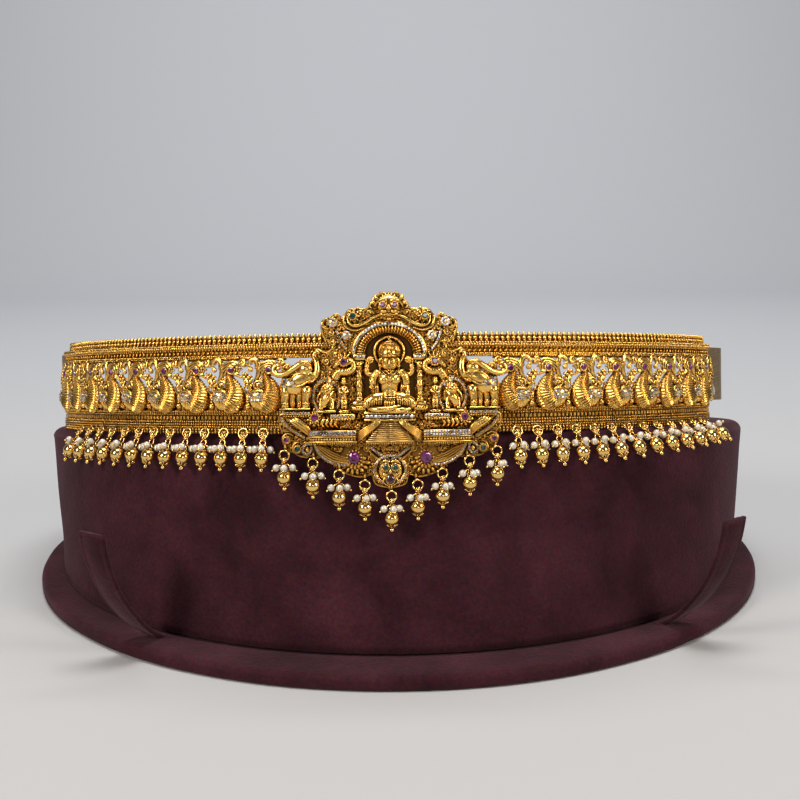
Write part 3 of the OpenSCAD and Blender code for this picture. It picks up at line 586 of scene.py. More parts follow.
class Casting:
    """Cast work drawn in millimetres as along, up and outward."""

    def __init__(self):
        self.points, self.faces, self.total = [], [], 0

    def add(self, points, faces):
        self.points.append(np.asarray(points, dtype=float))
        self.faces += [tuple(self.total + i for i in face) for face in faces]
        self.total += len(points)

    def ball(self, centre, radii, sides=8, rows=5, lean=0.0):
        points, faces = ball_parts(radii, sides, rows)
        c, s = math.cos(lean), math.sin(lean)
        self.add(points @ np.array([[c, s, 0], [-s, c, 0], [0, 0, 1]]) + np.asarray(centre), faces)

    def bar(self, path, radii, sides=6, flat=1.0):
        """A rounded bar along a path; flat squeezes it outward."""
        path = np.asarray(path, dtype=float)
        count, share = len(path), np.linspace(0, 1, len(path))
        radii, flat = [np.interp(share, np.linspace(0, 1, np.size(q)), np.ravel(q)) for q in (radii, flat)]
        run = np.gradient(path, axis=0)
        run /= np.linalg.norm(run, axis=1)[:, None]
        normal = np.array([0.0, 0, 1]) if abs(run[0][2]) < 0.9 else np.array([1.0, 0, 0])
        turn = np.linspace(0, 2 * math.pi, sides, endpoint=False)[:, None]
        rows = []
        for place, way, radius, thin in zip(path, run, radii, flat):
            normal = normal - way * normal.dot(way)
            normal /= np.linalg.norm(normal)
            across = np.cross(way, normal)
            rows.append(place + radius * (np.cos(turn) * normal * thin + np.sin(turn) * across))
        tips = [[path[0] - run[0] * radii[0] * 0.6], [path[-1] + run[-1] * radii[-1] * 0.6]]
        faces = skin_faces(count, sides)
        start, last = count * sides, (count - 1) * sides
        for j in range(sides):
            k = (j + 1) % sides
            faces += [(start, k, j), (start + 1, last + j, last + k)]
        self.add(np.vstack(rows + tips), faces)

    def strand(self, points, count, radii, sides=6, flat=1.0):
        """A bar along a smooth path through a few points."""
        self.bar(spline(points, count), radii, sides, flat)

    def both(self, draw, spots, *shape, **more):
        """Draws the same part on both sides of the middle."""
        for side in (-1, 1):
            draw(np.multiply(spots, [side, 1, 1][:np.shape(spots)[-1]]), *shape, **more)

    def ring(self, centre, big, small, axis=(0, 0, 1), count=18, sides=6, stretch=1.0):
        axis = np.asarray(axis, dtype=float)
        side = np.array([1.0, 0, 0]) if abs(axis[0]) < 0.9 else np.array([0, 1.0, 0])
        side = np.cross(axis, side)
        side /= np.linalg.norm(side)
        other = np.cross(axis, side)
        points, faces = [], []
        for i in range(count):
            a, n = 2 * math.pi * i / count, (i + 1) % count
            out = math.cos(a) * side + math.sin(a) * other
            for j in range(sides):
                b, k = 2 * math.pi * j / sides, (j + 1) % sides
                points.append((big + small * math.cos(b)) * out + small * math.sin(b) * axis)
                faces.append((i * sides + j, n * sides + j, n * sides + k, i * sides + k))
        self.add(np.array(points) * np.array([1, stretch, 1]) + np.asarray(centre), faces)

    def slab(self, outline, back, front, bevel=0.0):
        """A plate cut to an outline of points that runs anticlockwise."""
        outline = np.asarray(outline, dtype=float)
        count = len(outline)
        away = outline - outline.mean(0)
        away /= np.maximum(np.linalg.norm(away, axis=1), 1e-6)[:, None]
        levels = [(outline, back), (outline, front - bevel)] + [(outline - away * bevel, front)] * (bevel > 0)
        rows = [np.column_stack([line, np.full(count, out)]) for line, out in levels]
        faces = [tuple(reversed(range(count)))] + skin_faces(len(rows), count)
        faces.append(tuple(range((len(rows) - 1) * count, len(rows) * count)))
        self.add(np.vstack(rows), faces)

    def block(self, low, high, bevel=0.15):
        (x0, y0, z0), (x1, y1, z1) = low, high
        self.slab([(x0, y0), (x1, y0), (x1, y1), (x0, y1)], z0, z1, bevel)

    def spiral(self, centre, size, turns, start, way=1, wire=0.36, out=1.7, ball=0.5):
        """A wire rolled up into a scroll, with a ball in its eye."""
        a = np.linspace(0, turns * 2 * math.pi, int(16 * turns) + 4)
        r, turned = size * (1 - 0.78 * a / a[-1]), start + way * a
        self.bar(np.column_stack([centre[0] + r * np.cos(turned), centre[1] + r * np.sin(turned),
                                  out + 0.5 * a / a[-1]]), (wire * 0.8, wire * 1.15, wire))
        self.ball((centre[0], centre[1], out + 0.6), ball)

    def pebbles(self, path, pitch, radii, sides=6, rows=4):
        """A row of grains along a path."""
        path = np.asarray(path, dtype=float)
        gone = gone_along(path)
        count = max(2, int(gone[-1] / pitch) + 1)
        for g in np.linspace(0, gone[-1], count):
            self.ball([np.interp(g, gone, path[:, i]) for i in range(3)], radii, sides, rows)

    def mesh(self, s0=0.0, flip=False, finish=antique_gold):
        """The work bent to the belt with its middle at s0; flip mirrors it for the other side."""
        along, up, out = np.vstack(self.points).T
        placed = on_belt(s0 + (-along if flip else along), up, out)
        faces = [tuple(reversed(f)) for f in self.faces] if flip else self.faces
        mesh = bpy.data.meshes.new("casting")
        mesh.from_pydata(placed.tolist(), [], faces)
        mesh.polygons.foreach_set("use_smooth", [len(f) < 7 for f in faces])
        mesh.materials.append(finish)
        return mesh

    def item(self, name):
        """The same work as an item to set, with X along, Z up and -Y outward."""
        along, up, out = np.vstack(self.points).T
        return item_from(np.column_stack([along, -out, up]), self.faces, name)


def stone_finish(name, deep, bright, settings):
    """A cut stone with painted reflections: its tone goes from dark to bright in patches, for the light the
    facets catch.
    """
    finish = Finish(name, settings)
    painted_glints = finish.pattern("TexVoronoi", {"Scale": 900})
    finish.colour(finish.tones(painted_glints.outputs["Color"], deep, bright))
    return finish.material


clear_stone = stone_finish("clear set stone", (0.1, (0.09, 0.075, 0.06)), (0.75, (0.7, 0.68, 0.66)),
                           {"Metallic": 0.35, "Roughness": 0.2, "Coat Weight": 0.5, "Coat Roughness": 0.1})


def stone_faces(sides):
    """Faces of a cut stone: back, girdle, two rows of crown facets and the table."""
    return skin_faces(5, sides) + [tuple(range(4 * sides, 5 * sides)), tuple(reversed(range(sides)))]


def brilliant_item(name, sides):
    """A cut stone of radius 1 with its table outward, girdle facets and crown facets."""
    points = []
    rows = ((0.8, -0.35, 0), (1, 0, 0.5), (1, 0.12, 0.5), (0.82, 0.341, 0), (0.58, 0.62, 0.5))
    for radius, out, shift in rows:
        for j in range(sides):
            a = 2 * math.pi * (j + shift) / sides
            points.append((radius * math.cos(a), -out, radius * math.sin(a)))
    return item_from(points, stone_faces(sides), name, False)


small_stone = brilliant_item("small stone", 6)
big_stone = brilliant_item("big stone", 10)


def peacock_casting(last):
    """One link with its bird's eye at along 0; the last link has no hook for the next."""
    bird = Casting()
    bird.slab([(-7.75, -9.7), (4.95, -9.7), (4.95, -4), (3.9, -2.2), (2.2, -2.4), (-1, -1.4), (-4, -1.6),
               (-5.8, -2.4), (-7.75, -2)], -2.15, -1.2)
    bird.slab([(-7.75, 7.3), (4.95, 7.3), (4.95, 9), (-7.75, 9)], -2.15, -1.2)
    # Head, swept crest, collet of the eye and beak.
    bird.ball((-0.5, 4.5, -0.5), (2.4, 2.3, 1.4), 12, 8)
    for path, radii in (
        ([(-4.9, 4.8, 0), (-2.9, 6.2, 0.3), (0.2, 7.1, 0.4), (2.2, 6.2, 0.4), (2.7, 4.6, 0.4),
          (1.9, 3.3, 0.3)], (0.4, 0.62, 0.4)),
        ([(-4.4, 4.1, 0), (-2.5, 5.4, 0.6), (0.2, 6.3, 0.8), (1.7, 5.5, 0.8), (1.9, 4.3, 0.7),
          (1.4, 3.3, 0.5)], (0.36, 0.52, 0.3)),
        ([(-3.6, 3.4, 0.2), (-2.2, 4.6, 0.8), (-0.4, 5.6, 1.0), (1.0, 5.2, 1.0)], (0.28, 0.42, 0.26)),
        ([(-3, 2.6, 0.2), (-2.0, 3.6, 0.8), (-1.5, 4.5, 1.0)], (0.3, 0.4, 0.3)),
    ):
        bird.strand(path, 22, radii)
    bird.ring((0, 4.3, 1.0), 1.17, 0.3, count=20)
    bird.bar([(0, 4.3, -0.6), (0, 4.3, 0.4), (0, 4.3, 0.75)], (1.3, 1.25, 1.1), 14)
    bird.strand([(0.9, 3.3, 0.3), (2.0, 2.9, 0.6), (3.0, 2.1, 0.5), (4.3, 2.3, 0.1)], 12,
                (0.85, 0.75, 0.45, 0.18), 8)
    # Ribbed neck and breast, then the belly with its slanting ribs.
    wave = np.cos(np.arange(127) * 2 * math.pi / 6)
    chest = spline([(-1.9, 4.4, -0.3), (-1.5, 3.0, -0.2), (-0.8, 1.2, 0), (0.0, -0.6, 0.1), (0.3, -2.6, 0.1),
                    (-0.1, -4.6, 0), (-1.0, -6.6, -0.1), (-2.2, -8.2, -0.4)], 127)
    reach = np.interp(np.arange(127), np.linspace(0, 126, 8), [0.95, 1.1, 1.6, 2.6, 3.8, 4.4, 3.9, 2.4])
    bird.bar(chest, reach + 0.15 * wave, 16, 0.52 + 0.12 * wave / reach + 0.18 / reach)
    bird.ball((-2.9, -5.0, 0.25), (4.1, 3.7, 1.75), 22, 12)
    for k in range(9):
        slant = math.radians(250 + 17 * k)
        rim = np.array([-2.9 + 3.75 * math.cos(slant), -5.0 + 3.35 * math.sin(slant), 0.75])
        bird.bar([rim, rim * [0.86, 0.86, 1] + [-0.3, 0.25, 0.95], rim * [0.72, 0.7, 1] + [-0.8, 0.1, 1.3]],
                 (0.16, 0.24, 0.16), 5)
    bird.ball((-3.9, -4.0, 1.5), (2.6, 1.8, 1.0), 16, 8)
    # Scrolls and grains in the corners, and the edges of the wing.
    bird.spiral((3.7, 6.5), 1.25, 1.2, 2.6, -1, 0.48, 0.1, 0.55)
    bird.spiral((-2.75, 1.0), 1.05, 1.2, 0.6, 1, 0.36, 0.1, 0.42)
    bird.strand([(4.7, -3.2, -0.2), (4.0, -1.8, 0.1), (4.6, -0.4, 0.1)], 8, (0.5, 0.45, 0.3))
    bird.ball((3.3, 4.6, 0.1), 0.42)
    bird.ball((-4.9, 8.3, 0), 0.5)
    bird.ball((1.9, 8.2, 0), (0.55, 0.5, 0.5))
    bird.strand([(-6.6, -4.4, 0.7), (-5.8, -2.8, 1.2), (-3.9, -2.2, 1.7), (-2.0, -2.5, 2.0),
                 (-0.8, -3.7, 2.2)], 20, (0.4, 0.62, 0.55, 0.25))
    bird.pebbles(spline([(-6.4, -5.6, 0.1), (-4.8, -7.3, 0.2), (-2.2, -8.1, 0.2), (0.9, -8.2, 0.1)], 20),
                 0.72, (0.42, 0.46, 0.5))
    bird.pebbles(spline([(-5.9, -6.6, 0), (-4.2, -8, 0), (-2, -8.7, 0), (1.5, -8.9, 0)], 20), 0.8, 0.4)
    a = np.linspace(0, 3.3 * math.pi, 40)
    curl = 1.9 - 0.45 * a / math.pi
    bird.bar(np.column_stack([-3.7 + curl * np.cos(a - 1.2), -0.7 + curl * np.sin(a - 1.2), 0.6 + 0.06 * a]),
             (0.5, 0.42, 0.3))
    bird.ball((-3.7, -0.7, 0.9), (0.6, 0.6, 0.5))
    bird.strand([(-2.6, -2.1, 0.3), (-1.7, -1.2, 0.6), (-1.1, -1.9, 0.8), (-1.7, -2.5, 0.8)], 12, (0.42, 0.3))
    bird.ball((-2.4, -0.5, 0.2), (0.45, 0.45, 0.4))
    # Leaf, the tall scroll behind the bird and its flower.
    stem = spline([(-6.5, -3.0, -0.2), (-6.8, -1.0, 0.2), (-7.5, 1.0, 0.3), (-8.5, 3.1, 0.1)], 16)
    bird.bar(stem, (0.95, 0.85, 0.5))
    for i, (long, tilt) in enumerate([(1.2, 0.5), (1.7, 0.6), (1.9, 0.7), (1.6, 0.8), (1.0, 0.9)]):
        spot = stem[2 + 3 * i]
        for side in (-1, 1):
            tip = spot + [side * long * 0.8, long * tilt, 0.25]
            bird.bar([spot, (spot + tip) / 2 + [side * 0.15, -0.1, 0.3], tip], (0.5, 0.72, 0.3))
    bird.ball((-6.2, 2.2, 0.2), 0.4)
    bird.ball((-6.0, 1.2, 0.2), 0.36)
    bird.strand([(-5.6, -2.0, -0.4), (-5.0, 0.4, -0.2), (-4.0, 2.6, 0), (-3.7, 5.0, 0.1), (-4.2, 7.0, 0.1),
                 (-5.4, 7.8, 0.1), (-6.7, 7.2, 0.2), (-7.1, 5.9, 0.3), (-6.6, 4.7, 0.4)], 34,
                (0.7, 0.85, 0.75, 0.5), 7)
    bird.strand([(-5.0, 5.0, 0), (-4.9, 6.2, 0), (-5.7, 6.8, 0), (-6.2, 6.0, 0.1)], 14, (0.2, 0.3, 0.2))
    bird.ball((-6.35, 4.45, 0.5), (0.9, 0.9, 0.85), 10, 7)
    bird.ring((-6.35, 4.45, 1.05), 0.5, 0.16, count=12)
    # Hook to the next link, and the ball foot with its ribbed stem.
    if not last:
        bird.strand([(-9.7, 7.8, -0.5), (-9.6, 6.3, -0.1), (-8.6, 5.5, 0.1), (-7.6, 6.2, 0)], 14,
                    (0.34, 0.45, 0.3))
        bird.ball((-8.5, 6.9, 0.1), (0.62, 0.62, 0.6))
    bird.ball((-7.4, -7.1, 0.3), (1.0, 1.0, 0.95), 12, 8)
    bird.ring((-7.4, -7.1, 1.1), 0.42, 0.14, count=12)
    bird.bar([(-7.6, -3.3, 0), (-7.5, -4.6, 0.3), (-7.4, -5.9, 0.1)], (0.95, 0.8, 0.5), 8, 0.7)
    for up in (-3.4, -4.2, -5.0, -5.7):
        bird.bar([(-8.4, up, 0.35), (-7.5, up - 0.12, 0.75), (-6.6, up, 0.35)], (0.16, 0.26, 0.16))
    bird.strand([(-6.0, -8.6, -0.2), (-6.2, -7.4, 0), (-5.6, -6.5, 0)], 8, (0.3, 0.35, 0.25))
    return bird


def wing_stones():
    """Places for the stones of a wing, in staggered rows over an oval dome."""
    spots = []
    for row in range(-3, 4):
        for column in range(-4, 5):
            x, y = 1.12 * (column + 0.5 * (row % 2)), 0.98 * row
            if (x / 2.75) ** 2 + (y / 1.9) ** 2 < 1:
                spots.append((-3.7 + x, -4.3 + y, 1.3 + math.sqrt(1 - (x / 3.1) ** 2 - (y / 2.5) ** 2)))
    return spots


wing = wing_stones()
wing_stone, wing_claw = 0.5, 0.24
for side, word in both_sides:
    for index in range(link_counts[word]):
        s0 = side * (first_eye + link_pitch * index)
        name = f"peacock_link_{word}_{index + 1}"
        along, up, out = np.array(wing).T
        stops = s0 - side * along
        tilt = np.random.default_rng(40 * side + index + 50).uniform(-0.3, 0.3, (len(stops), 2))
        set_stones = set_items(small_stone, on_belt(stops, up, out),
                               [belt_turn(s, *a) for s, a in zip(stops, tilt)], wing_stone, clear_stone)
        claws = set_items(grain, on_belt(stops + 0.51, up - 0.02, out + 0.1),
                          [belt_turn(s) for s in stops], wing_claw, antique_gold)
        body = peacock_casting(index == link_counts[word] - 1).mesh(s0, side > 0)
        joined(f"{name}_cast", [body, set_stones, claws], "antique_gold", name)

# The rubies in the birds' heads: small faceted stones, pink to purple.


def gem_finish(name, deep, bright):
    return stone_finish(name, (0.2, deep), (0.85, bright), {
        "Roughness": 0.16, "IOR": 1.76, "Specular IOR Level": 0.5, "Coat Weight": 0.3, "Coat Roughness": 0.08,
    })


ruby = gem_finish("pink ruby", (0.045, 0.003, 0.03), (0.2, 0.02, 0.15))
emerald = gem_finish("dark emerald", (0.002, 0.017, 0.013), (0.01, 0.072, 0.053))
garnet = gem_finish("dark garnet", (0.02, 0.002, 0.008), (0.09, 0.012, 0.04))
stops = [side * (first_eye + link_pitch * i) for side, word in both_sides for i in range(link_counts[word])]
gems = set_items(big_stone, on_belt(stops, 4.3, 1.28), [belt_turn(s) for s in stops], 0.98, ruby)
joined("eye_rubies_cut", [gems], "ruby", "eye_rubies")

# The small drops: a polished hollow gold ball on a jump ring, under a cone of wire. Three wires
# carry a pearl each and end in a gold bead, and a petal cap and a tip bead close the foot.


def polished_finish():
    finish = Finish("polished gold", {"Metallic": 1, "Roughness": 0.2})
    # Painted shade: the colour goes dark where ambient occlusion finds a recess.
    shade_depth = finish.add("AmbientOcclusion", {"Distance": 0.0009})
    shade_depth.samples = 4
    finish.colour(finish.tones(shade_depth.outputs["AO"], (0.2, (0.16, 0.06, 0.01)),
                               (0.85, (0.95, 0.62, 0.2))))
    dimple = finish.pattern("TexNoise", {"Scale": 260})
    finish.relief(dimple.outputs["Fac"], 0.12, 0.00012)
    return finish.material


def pearl_finish():
    finish = Finish("cream pearl", {
        "Roughness": 0.14, "Metallic": 0.3, "Coat Weight": 1, "Coat Roughness": 0.04,
        "Subsurface Weight": 0.12, "Subsurface Radius": (0.001, 0.0008, 0.0006),
    })
    cloud = finish.pattern("TexNoise", {"Scale": 330})
    finish.colour(finish.tones(cloud.outputs["Fac"], (0, (0.56, 0.48, 0.36)), (1, (0.84, 0.77, 0.65))))
    return finish.material


polished, pearl = polished_finish(), pearl_finish()
# A drop in millimetres, measured from its eyelet: out is away from the belt, z is up.
eyelet_v, eyelet_out, hook_out, neck = -14.2, 1.1, 4.2, 1.2
ball_r, pearl_r, pearl_z, pearl_out, pearl_lean = 2.4, 1.15, -5.5, 2.5, math.radians(55)
ring_z, loop_z, ball_z = -1.6, -3.2, -8.5
first_drop, drop_pitch, drop_count = 40.2, 6.9, 13
pearl_ways = [math.radians(a) for a in (197, 17, -75)]
pearl_reach = pearl_out / math.sin(pearl_lean)
pearl_top = pearl_z + pearl_out / math.tan(pearl_lean)


def full_turn(count, start=0.0):
    """Angles spread evenly over a full turn."""
    return [2 * math.pi * k / count + start for k in range(count)]


def drop_item(name, long):
    """One drop, drawn downward from the eyelet that holds it, with a neck as long as given."""
    drop = Casting()

    def strew(v, wide, high, count, first, step, least):
        """Grains in a spiral round a bead at height v."""
        for k in range(count):
            a, up = 2.4 * k, first - step * k
            flat = math.sqrt(max(least, 1 - up * up))
            drop.ball((wide * flat * math.cos(a), v + high * up, wide * flat * math.sin(a)), 0.3, 6, 4)

    drop.ring((0, ring_z, 0), 1.55, 0.28, count=28, sides=8)
    drop.ring((0, loop_z, 0), 0.8, 0.28, axis=(1, 0, 0), count=18, sides=7)
    top, foot = loop_z - 0.85, ball_z + ball_r - 0.35
    if long:
        drop.ring((0, top - 0.75, 0), 0.95, 0.25, count=20, sides=7)
        drop.ball((0, -2.3, 0), (0.8, 1.15, 0.8), 10, 7)
        strew(-2.3, 0.85, 1.15, 16, 0.92, 0.12, 0.08)
        top -= 1.4
    for a in full_turn(6, 0.3):
        x, w = math.cos(a), math.sin(a)
        drop.bar([(0.3 * x, top, 0.3 * w), (0.75 * x, (top + foot) / 2 - long / 2, 0.75 * w),
                  (1.25 * x, foot - long, 1.25 * w)], 0.2)
    drop.ring((0, foot + 0.12 - long, 0), 1.25, 0.2, axis=(0, 1, 0), count=18)
    drop.ball((0, loop_z, 0), (0.72, 0.8, 0.72), 10, 7)
    strew(loop_z, 0.72, 0.85, 13, 0.85, 0.14, 0.1)
    drop.ball((0, ball_z - long, 0), ball_r, 22, 14)
    for a in full_turn(7):
        x, w = math.cos(a), math.sin(a)
        drop.bar([(0.4 * x, ball_z - ball_r - 0.35 - long, 0.4 * w),
                  (1.1 * x, ball_z - ball_r + 0.12 - long, 1.1 * w),
                  (1.75 * x, ball_z - ball_r + 0.42 - long, 1.75 * w)], (0.2, 0.34, 0.12), 6, 0.8)
    drop.ball((0, ball_z - ball_r - 0.35 - long, 0), (0.55, 0.32, 0.55))
    drop.ball((0, ball_z - ball_r - 1.15 - long, 0), 0.75, 12, 8)
    for a in pearl_ways:
        way = np.array([math.cos(a) * math.sin(pearl_lean), -math.cos(pearl_lean),
                        -math.sin(a) * math.sin(pearl_lean)])
        start = np.array([0, pearl_top - long, 0])
        end = start + way * (pearl_reach + pearl_r + 0.42)
        drop.bar([start, (start + end) / 2, end], 0.16)
        drop.ball(end - way * 0.05, 0.42, 8, 6)
        drop.ball(start + way * (pearl_reach - pearl_r - 0.12), (0.36, 0.3, 0.36), 8, 4)
    return drop.item(name)


def pearl_places(long):
    return [(math.cos(a) * pearl_out, math.sin(a) * pearl_out, pearl_z - long) for a in pearl_ways]


def drop_lean(s):
    """How far a drop swings out, because its ball lies against the drum's shoulder."""
    heading, radius, cx, cy = [float(q) for q in arc_at(s)]
    px, py = cx + radius * math.sin(heading) + belt_x, cy - radius * math.cos(heading)
    k = math.hypot(px / drum_a, py / drum_b)
    margin = (px / k - px) * math.sin(heading) - (py / k - py) * math.cos(heading) + 1
    # The shoulder is an arc, so the ball's middle lies where two circles meet: one about the
    # eyelet, as long as the drop, and one about the middle of the arc, clear of the suede.
    turning = np.array([margin - shoulder, -shoulder])
    eyelet = np.array([eyelet_out, eyelet_v - band_low + rest_gap])
    clear, reach, gap = shoulder + ball_r + 1.1, neck - ball_z, np.linalg.norm(turning - eyelet)
    a = (clear**2 - reach**2 + gap * gap) / (2 * gap)
    way = (eyelet - turning) / gap
    middle = turning + a * way + math.sqrt(max(0, clear**2 - a * a)) * np.array([way[1], -way[0]])
    return math.atan2(middle[0] - eyelet[0], eyelet[1] - middle[1])


def belt_matrix(s, v, w, swing=0.0):
    """Place and turn of an item on the belt; swing tips its foot outward."""
    turn = Euler(belt_turn(s)).to_matrix() @ Matrix.Rotation(-swing, 3, "X")
    return Vector(on_belt(s, v, w)), turn


def hang(item, holds, sizes, finish):
    return set_items(item, [p for p, t in holds], [tuple(t.to_euler()) for p, t in holds], sizes, finish)


def hang_pearls(holds, long):
    spots = [(p + t @ Vector(q) / 1000, t) for p, t in holds for q in pearl_places(long)]
    return hang(pearl_item, spots, pearl_r, pearl)


pearl_item = item_from(*ball_parts(1, 18, 12), "pearl")
neck_drop, plain_drop = drop_item("neck drop", neck), drop_item("plain drop", 0.0)
for side, word in both_sides:
    stops = [side * (first_drop + drop_pitch * i) for i in range(drop_count)]
    holds = [belt_matrix(s, eyelet_v, eyelet_out, drop_lean(s)) for s in stops]
    joined(f"band_drops_{word}_gold", [hang(neck_drop, holds, 1, polished)], "polished_gold",
           f"band_drops_{word}")
    joined(f"band_pearls_{word}_round", [hang_pearls(holds, neck)], "pearl", f"band_pearls_{word}")
drop_table = [(-32.4, -20.9), (-23.5, -23.4), (-15.5, -27), (-7.7, -30.2), (0.3, -33.6),
              (8.2, -30.2), (15.7, -26.8), (24, -23), (32.6, -20.2)]
for index, (s, v) in enumerate(drop_table, 1):
    joined(f"medallion_drop_{index}_gold", [hang(plain_drop, [belt_matrix(s, v, hook_out)], 1, polished)],
           "polished_gold", f"medallion_drop_{index}")
joined("medallion_pearls_round", [hang_pearls([belt_matrix(s, v, hook_out) for s, v in drop_table], 0.0)],
       "pearl", "medallion_pearls")

# The medallion: a cast and pierced shrine plate with a jewelled arch, pillars, scrolls, ledges,
# a stair and crescents soldered on. Clear stones are set in rows, each held by small claws.

# In millimetres: the arch's middle, radius and squash, the halo's middle, and the height under
# which the gold lies in the shade of the platforms.
arch_v, arch_r, arch_squash, halo_v, platform_v = 8.8, 10.75, 0.87, 9.4, -13.5
dark_gold = gold_finish("oxidised gold", (0.3, 0.15, 0.03), (0.12, 0.05, 0.01), 0.4)


def bent_plate(outline, holes, back, front):
    """A pierced plate that follows the belt's curve, from an outline in millimetres."""
    form = bmesh.new()
    form.faces.new([form.verts.new((u, v, 0)) for u, v in outline])
    cuts = [((u, 0, 0), (1, 0, 0)) for u in np.arange(-34, 35, 1.7)]
    for hole in holes:
        for a, b in zip(hole, hole[1:] + hole[:1]):
            cuts.append(((a[0], a[1], 0), (b[1] - a[1], a[0] - b[0], 0)))
    for place, way in cuts:
        bmesh.ops.bisect_plane(form, geom=form.verts[:] + form.edges[:] + form.faces[:],
                               plane_co=place, plane_no=way, dist=1e-4)

    def inside(point, hole):
        signs = [(b[0] - a[0]) * (point.y - a[1]) - (b[1] - a[1]) * (point.x - a[0])
                 for a, b in zip(hole, hole[1:] + hole[:1])]
        return all(s > 0 for s in signs) or all(s < 0 for s in signs)

    gone = [f for f in form.faces if any(inside(f.calc_center_median(), hole) for hole in holes)]
    bmesh.ops.delete(form, geom=gone, context="FACES")
    bmesh.ops.recalc_face_normals(form, faces=form.faces)
    if form.faces[0].normal.z > 0:
        bmesh.ops.reverse_faces(form, faces=form.faces)
    lifted = bmesh.ops.extrude_face_region(form, geom=form.faces[:])["geom"]
    for vert in [g for g in lifted if isinstance(g, bmesh.types.BMVert)]:
        vert.co.z = 1
    bmesh.ops.recalc_face_normals(form, faces=form.faces)
    bmesh.ops.triangulate(form, faces=[f for f in form.faces if len(f.verts) > 4])
    form.verts.index_update()
    flat = np.array([v.co[:] for v in form.verts])
    mesh = bpy.data.meshes.new("plate")
    placed = on_belt(flat[:, 0], flat[:, 1], back + (front - back) * flat[:, 2])
    mesh.from_pydata(placed.tolist(), [], [[v.index for v in f.verts] for f in form.faces])
    form.free()
    mesh.materials.append(dark_gold)
    return mesh


def round_path(turn, v, wide, high, out):
    """A path along part of an oval whose middle is at height v, at one reach outward."""
    return np.column_stack([wide * np.cos(turn), v + high * np.sin(turn), 0 * turn + out])


class Jewel(Casting):
    """Cast work with rows of clear stones."""

    def __init__(self):
        super().__init__()
        self.spots, self.sizes = [], []

    def stone(self, spot, size):
        self.spots.append(spot)
        self.sizes.append(size)

    def pave(self, path, pitch=1.0, stone=0.45, bed=0.62):
        """A row of stones on a raised bed, with a claw on either side between each two."""
        path = np.asarray(path, dtype=float)
        if bed:
            self.bar(path - [0, 0, 0.25], bed, 8, 0.7)
        gone, run = gone_along(path), np.gradient(path, axis=0)
        count = max(2, int(round(gone[-1] / pitch)) + 1)
        for g in np.linspace(0, gone[-1], count):
            spot = np.array([np.interp(g, gone, path[:, i]) for i in range(3)])
            way = np.array([np.interp(g, gone, run[:, i]) for i in range(2)])
            way /= max(1e-6, np.linalg.norm(way))
            self.stone(spot, stone)
            if g < gone[-1] - 1e-6:
                for side in (-1, 1):
                    claw = spot + [way[0] * pitch / 2 - way[1] * side * stone * 0.8,
                                   way[1] * pitch / 2 + way[0] * side * stone * 0.8, 0.18]
                    self.ball(claw, 0.2, 5, 3)

    def petals(self, centre, inner, outer, count, start=0.0, sweep=2 * math.pi, wide=0.4, out=1.8, rise=0.3):
        """Petals that spread from a middle, over a full turn or a part of it."""
        for k in range(count):
            a = start + sweep * k / (count if sweep > 6.2 else max(1, count - 1))
            way = np.array([math.cos(a), math.sin(a), 0])
            c = np.array([centre[0], centre[1], out])
            self.bar([c + way * inner + [0, 0, rise],
                      c + way * (inner * 0.35 + outer * 0.65) + [0, 0, rise * 0.6],
                      c + way * outer], (wide * 0.55, wide, wide * 0.6), 6, 0.8)

    def bezel(self, centre, size, out):
        """A collet with a beaded foot, for a coloured stone."""
        self.bar([(*centre, out - 1.6), (*centre, out - 0.15)], size * 1.1, 16)
        self.ring((*centre, out), size * 1.08, 0.26, count=24)
        for a in full_turn(12):
            self.ball((centre[0] + size * 1.42 * math.cos(a), centre[1] + size * 1.42 * math.sin(a),
                       out - 0.35), 0.25, 6, 4)

    def lotus(self, u0, u1, v, high, out, count):
        """A band of upright lotus petals."""
        for k in range(count):
            u = u0 + (u1 - u0) * (k + 0.5) / count
            w = abs(u1 - u0) / count * 0.46
            self.bar([(u, v, out), (u, v + high * 0.5, out + 0.25), (u, v + high, out)],
                     (w, w * 0.95, w * 0.35), 6, 0.7)

    def parts(self, flip=False, shaded=False):
        """Meshes of the gold and of its stones; the gold under the platforms can be shaded."""
        meshes = [self.mesh(0, flip)]
        if shaded:
            meshes[0].materials.append(shaded_gold)
            points = np.vstack(self.points)
            low = [int(points[list(face), 1].mean() < platform_v) for face in self.faces]
            meshes[0].polygons.foreach_set("material_index", low)
        if self.spots:
            along, up, out = np.array(self.spots).T
            along = -along if flip else along
            meshes.append(set_items(small_stone, on_belt(along, up, out), [belt_turn(s) for s in along],
                                    self.sizes, clear_stone))
        return meshes


plate_edge = [
    (-1.2, 27.6), (-4.2, 26.4), (-5.9, 23.4), (-8.2, 22.6), (-12.2, 22.4), (-14.3, 19.6), (-17.2, 20.6),
    (-20.6, 18.2), (-20.2, 14.6), (-17.4, 11.4), (-19.5, 9.2), (-22.6, 10.2), (-24.2, 6.4), (-27.4, 6.8),
    (-30.2, 5), (-33, 5.6), (-33.4, 2.6), (-33, -8.4), (-34.6, -10.4), (-34, -14.6), (-30.8, -15.4),
    (-33.6, -17.6), (-32.6, -20), (-30.2, -21.6), (-27.6, -23), (-24.4, -22.6), (-21.2, -23), (-15.8, -26.6),
    (-13.6, -28.2), (-9, -29.4), (-5.6, -28.6), (-4.4, -31.6), (0, -32.8),
]
holes = [[(-31, -8.8), (-25.5, -8.6), (-24.4, -10.2), (-27, -10.6)],
         [(-30.5, 4.2), (-27.4, 5.4), (-26, 4.4), (-29, 2.8)],
         [(-24, -5.5), (-24, -1), (-25.6, -1), (-25.6, -5.5)]]
holes += [[(-u, v) for u, v in hole] for hole in holes]
edge = plate_edge + [(-u, v) for u, v in reversed(plate_edge[:-1])]
plate = bent_plate(edge, holes, 0.3, 1.3)
niche_edge = [(8.1 * math.cos(a), arch_v + 7.4 * math.sin(a)) for a in np.linspace(0, math.pi, 25)]
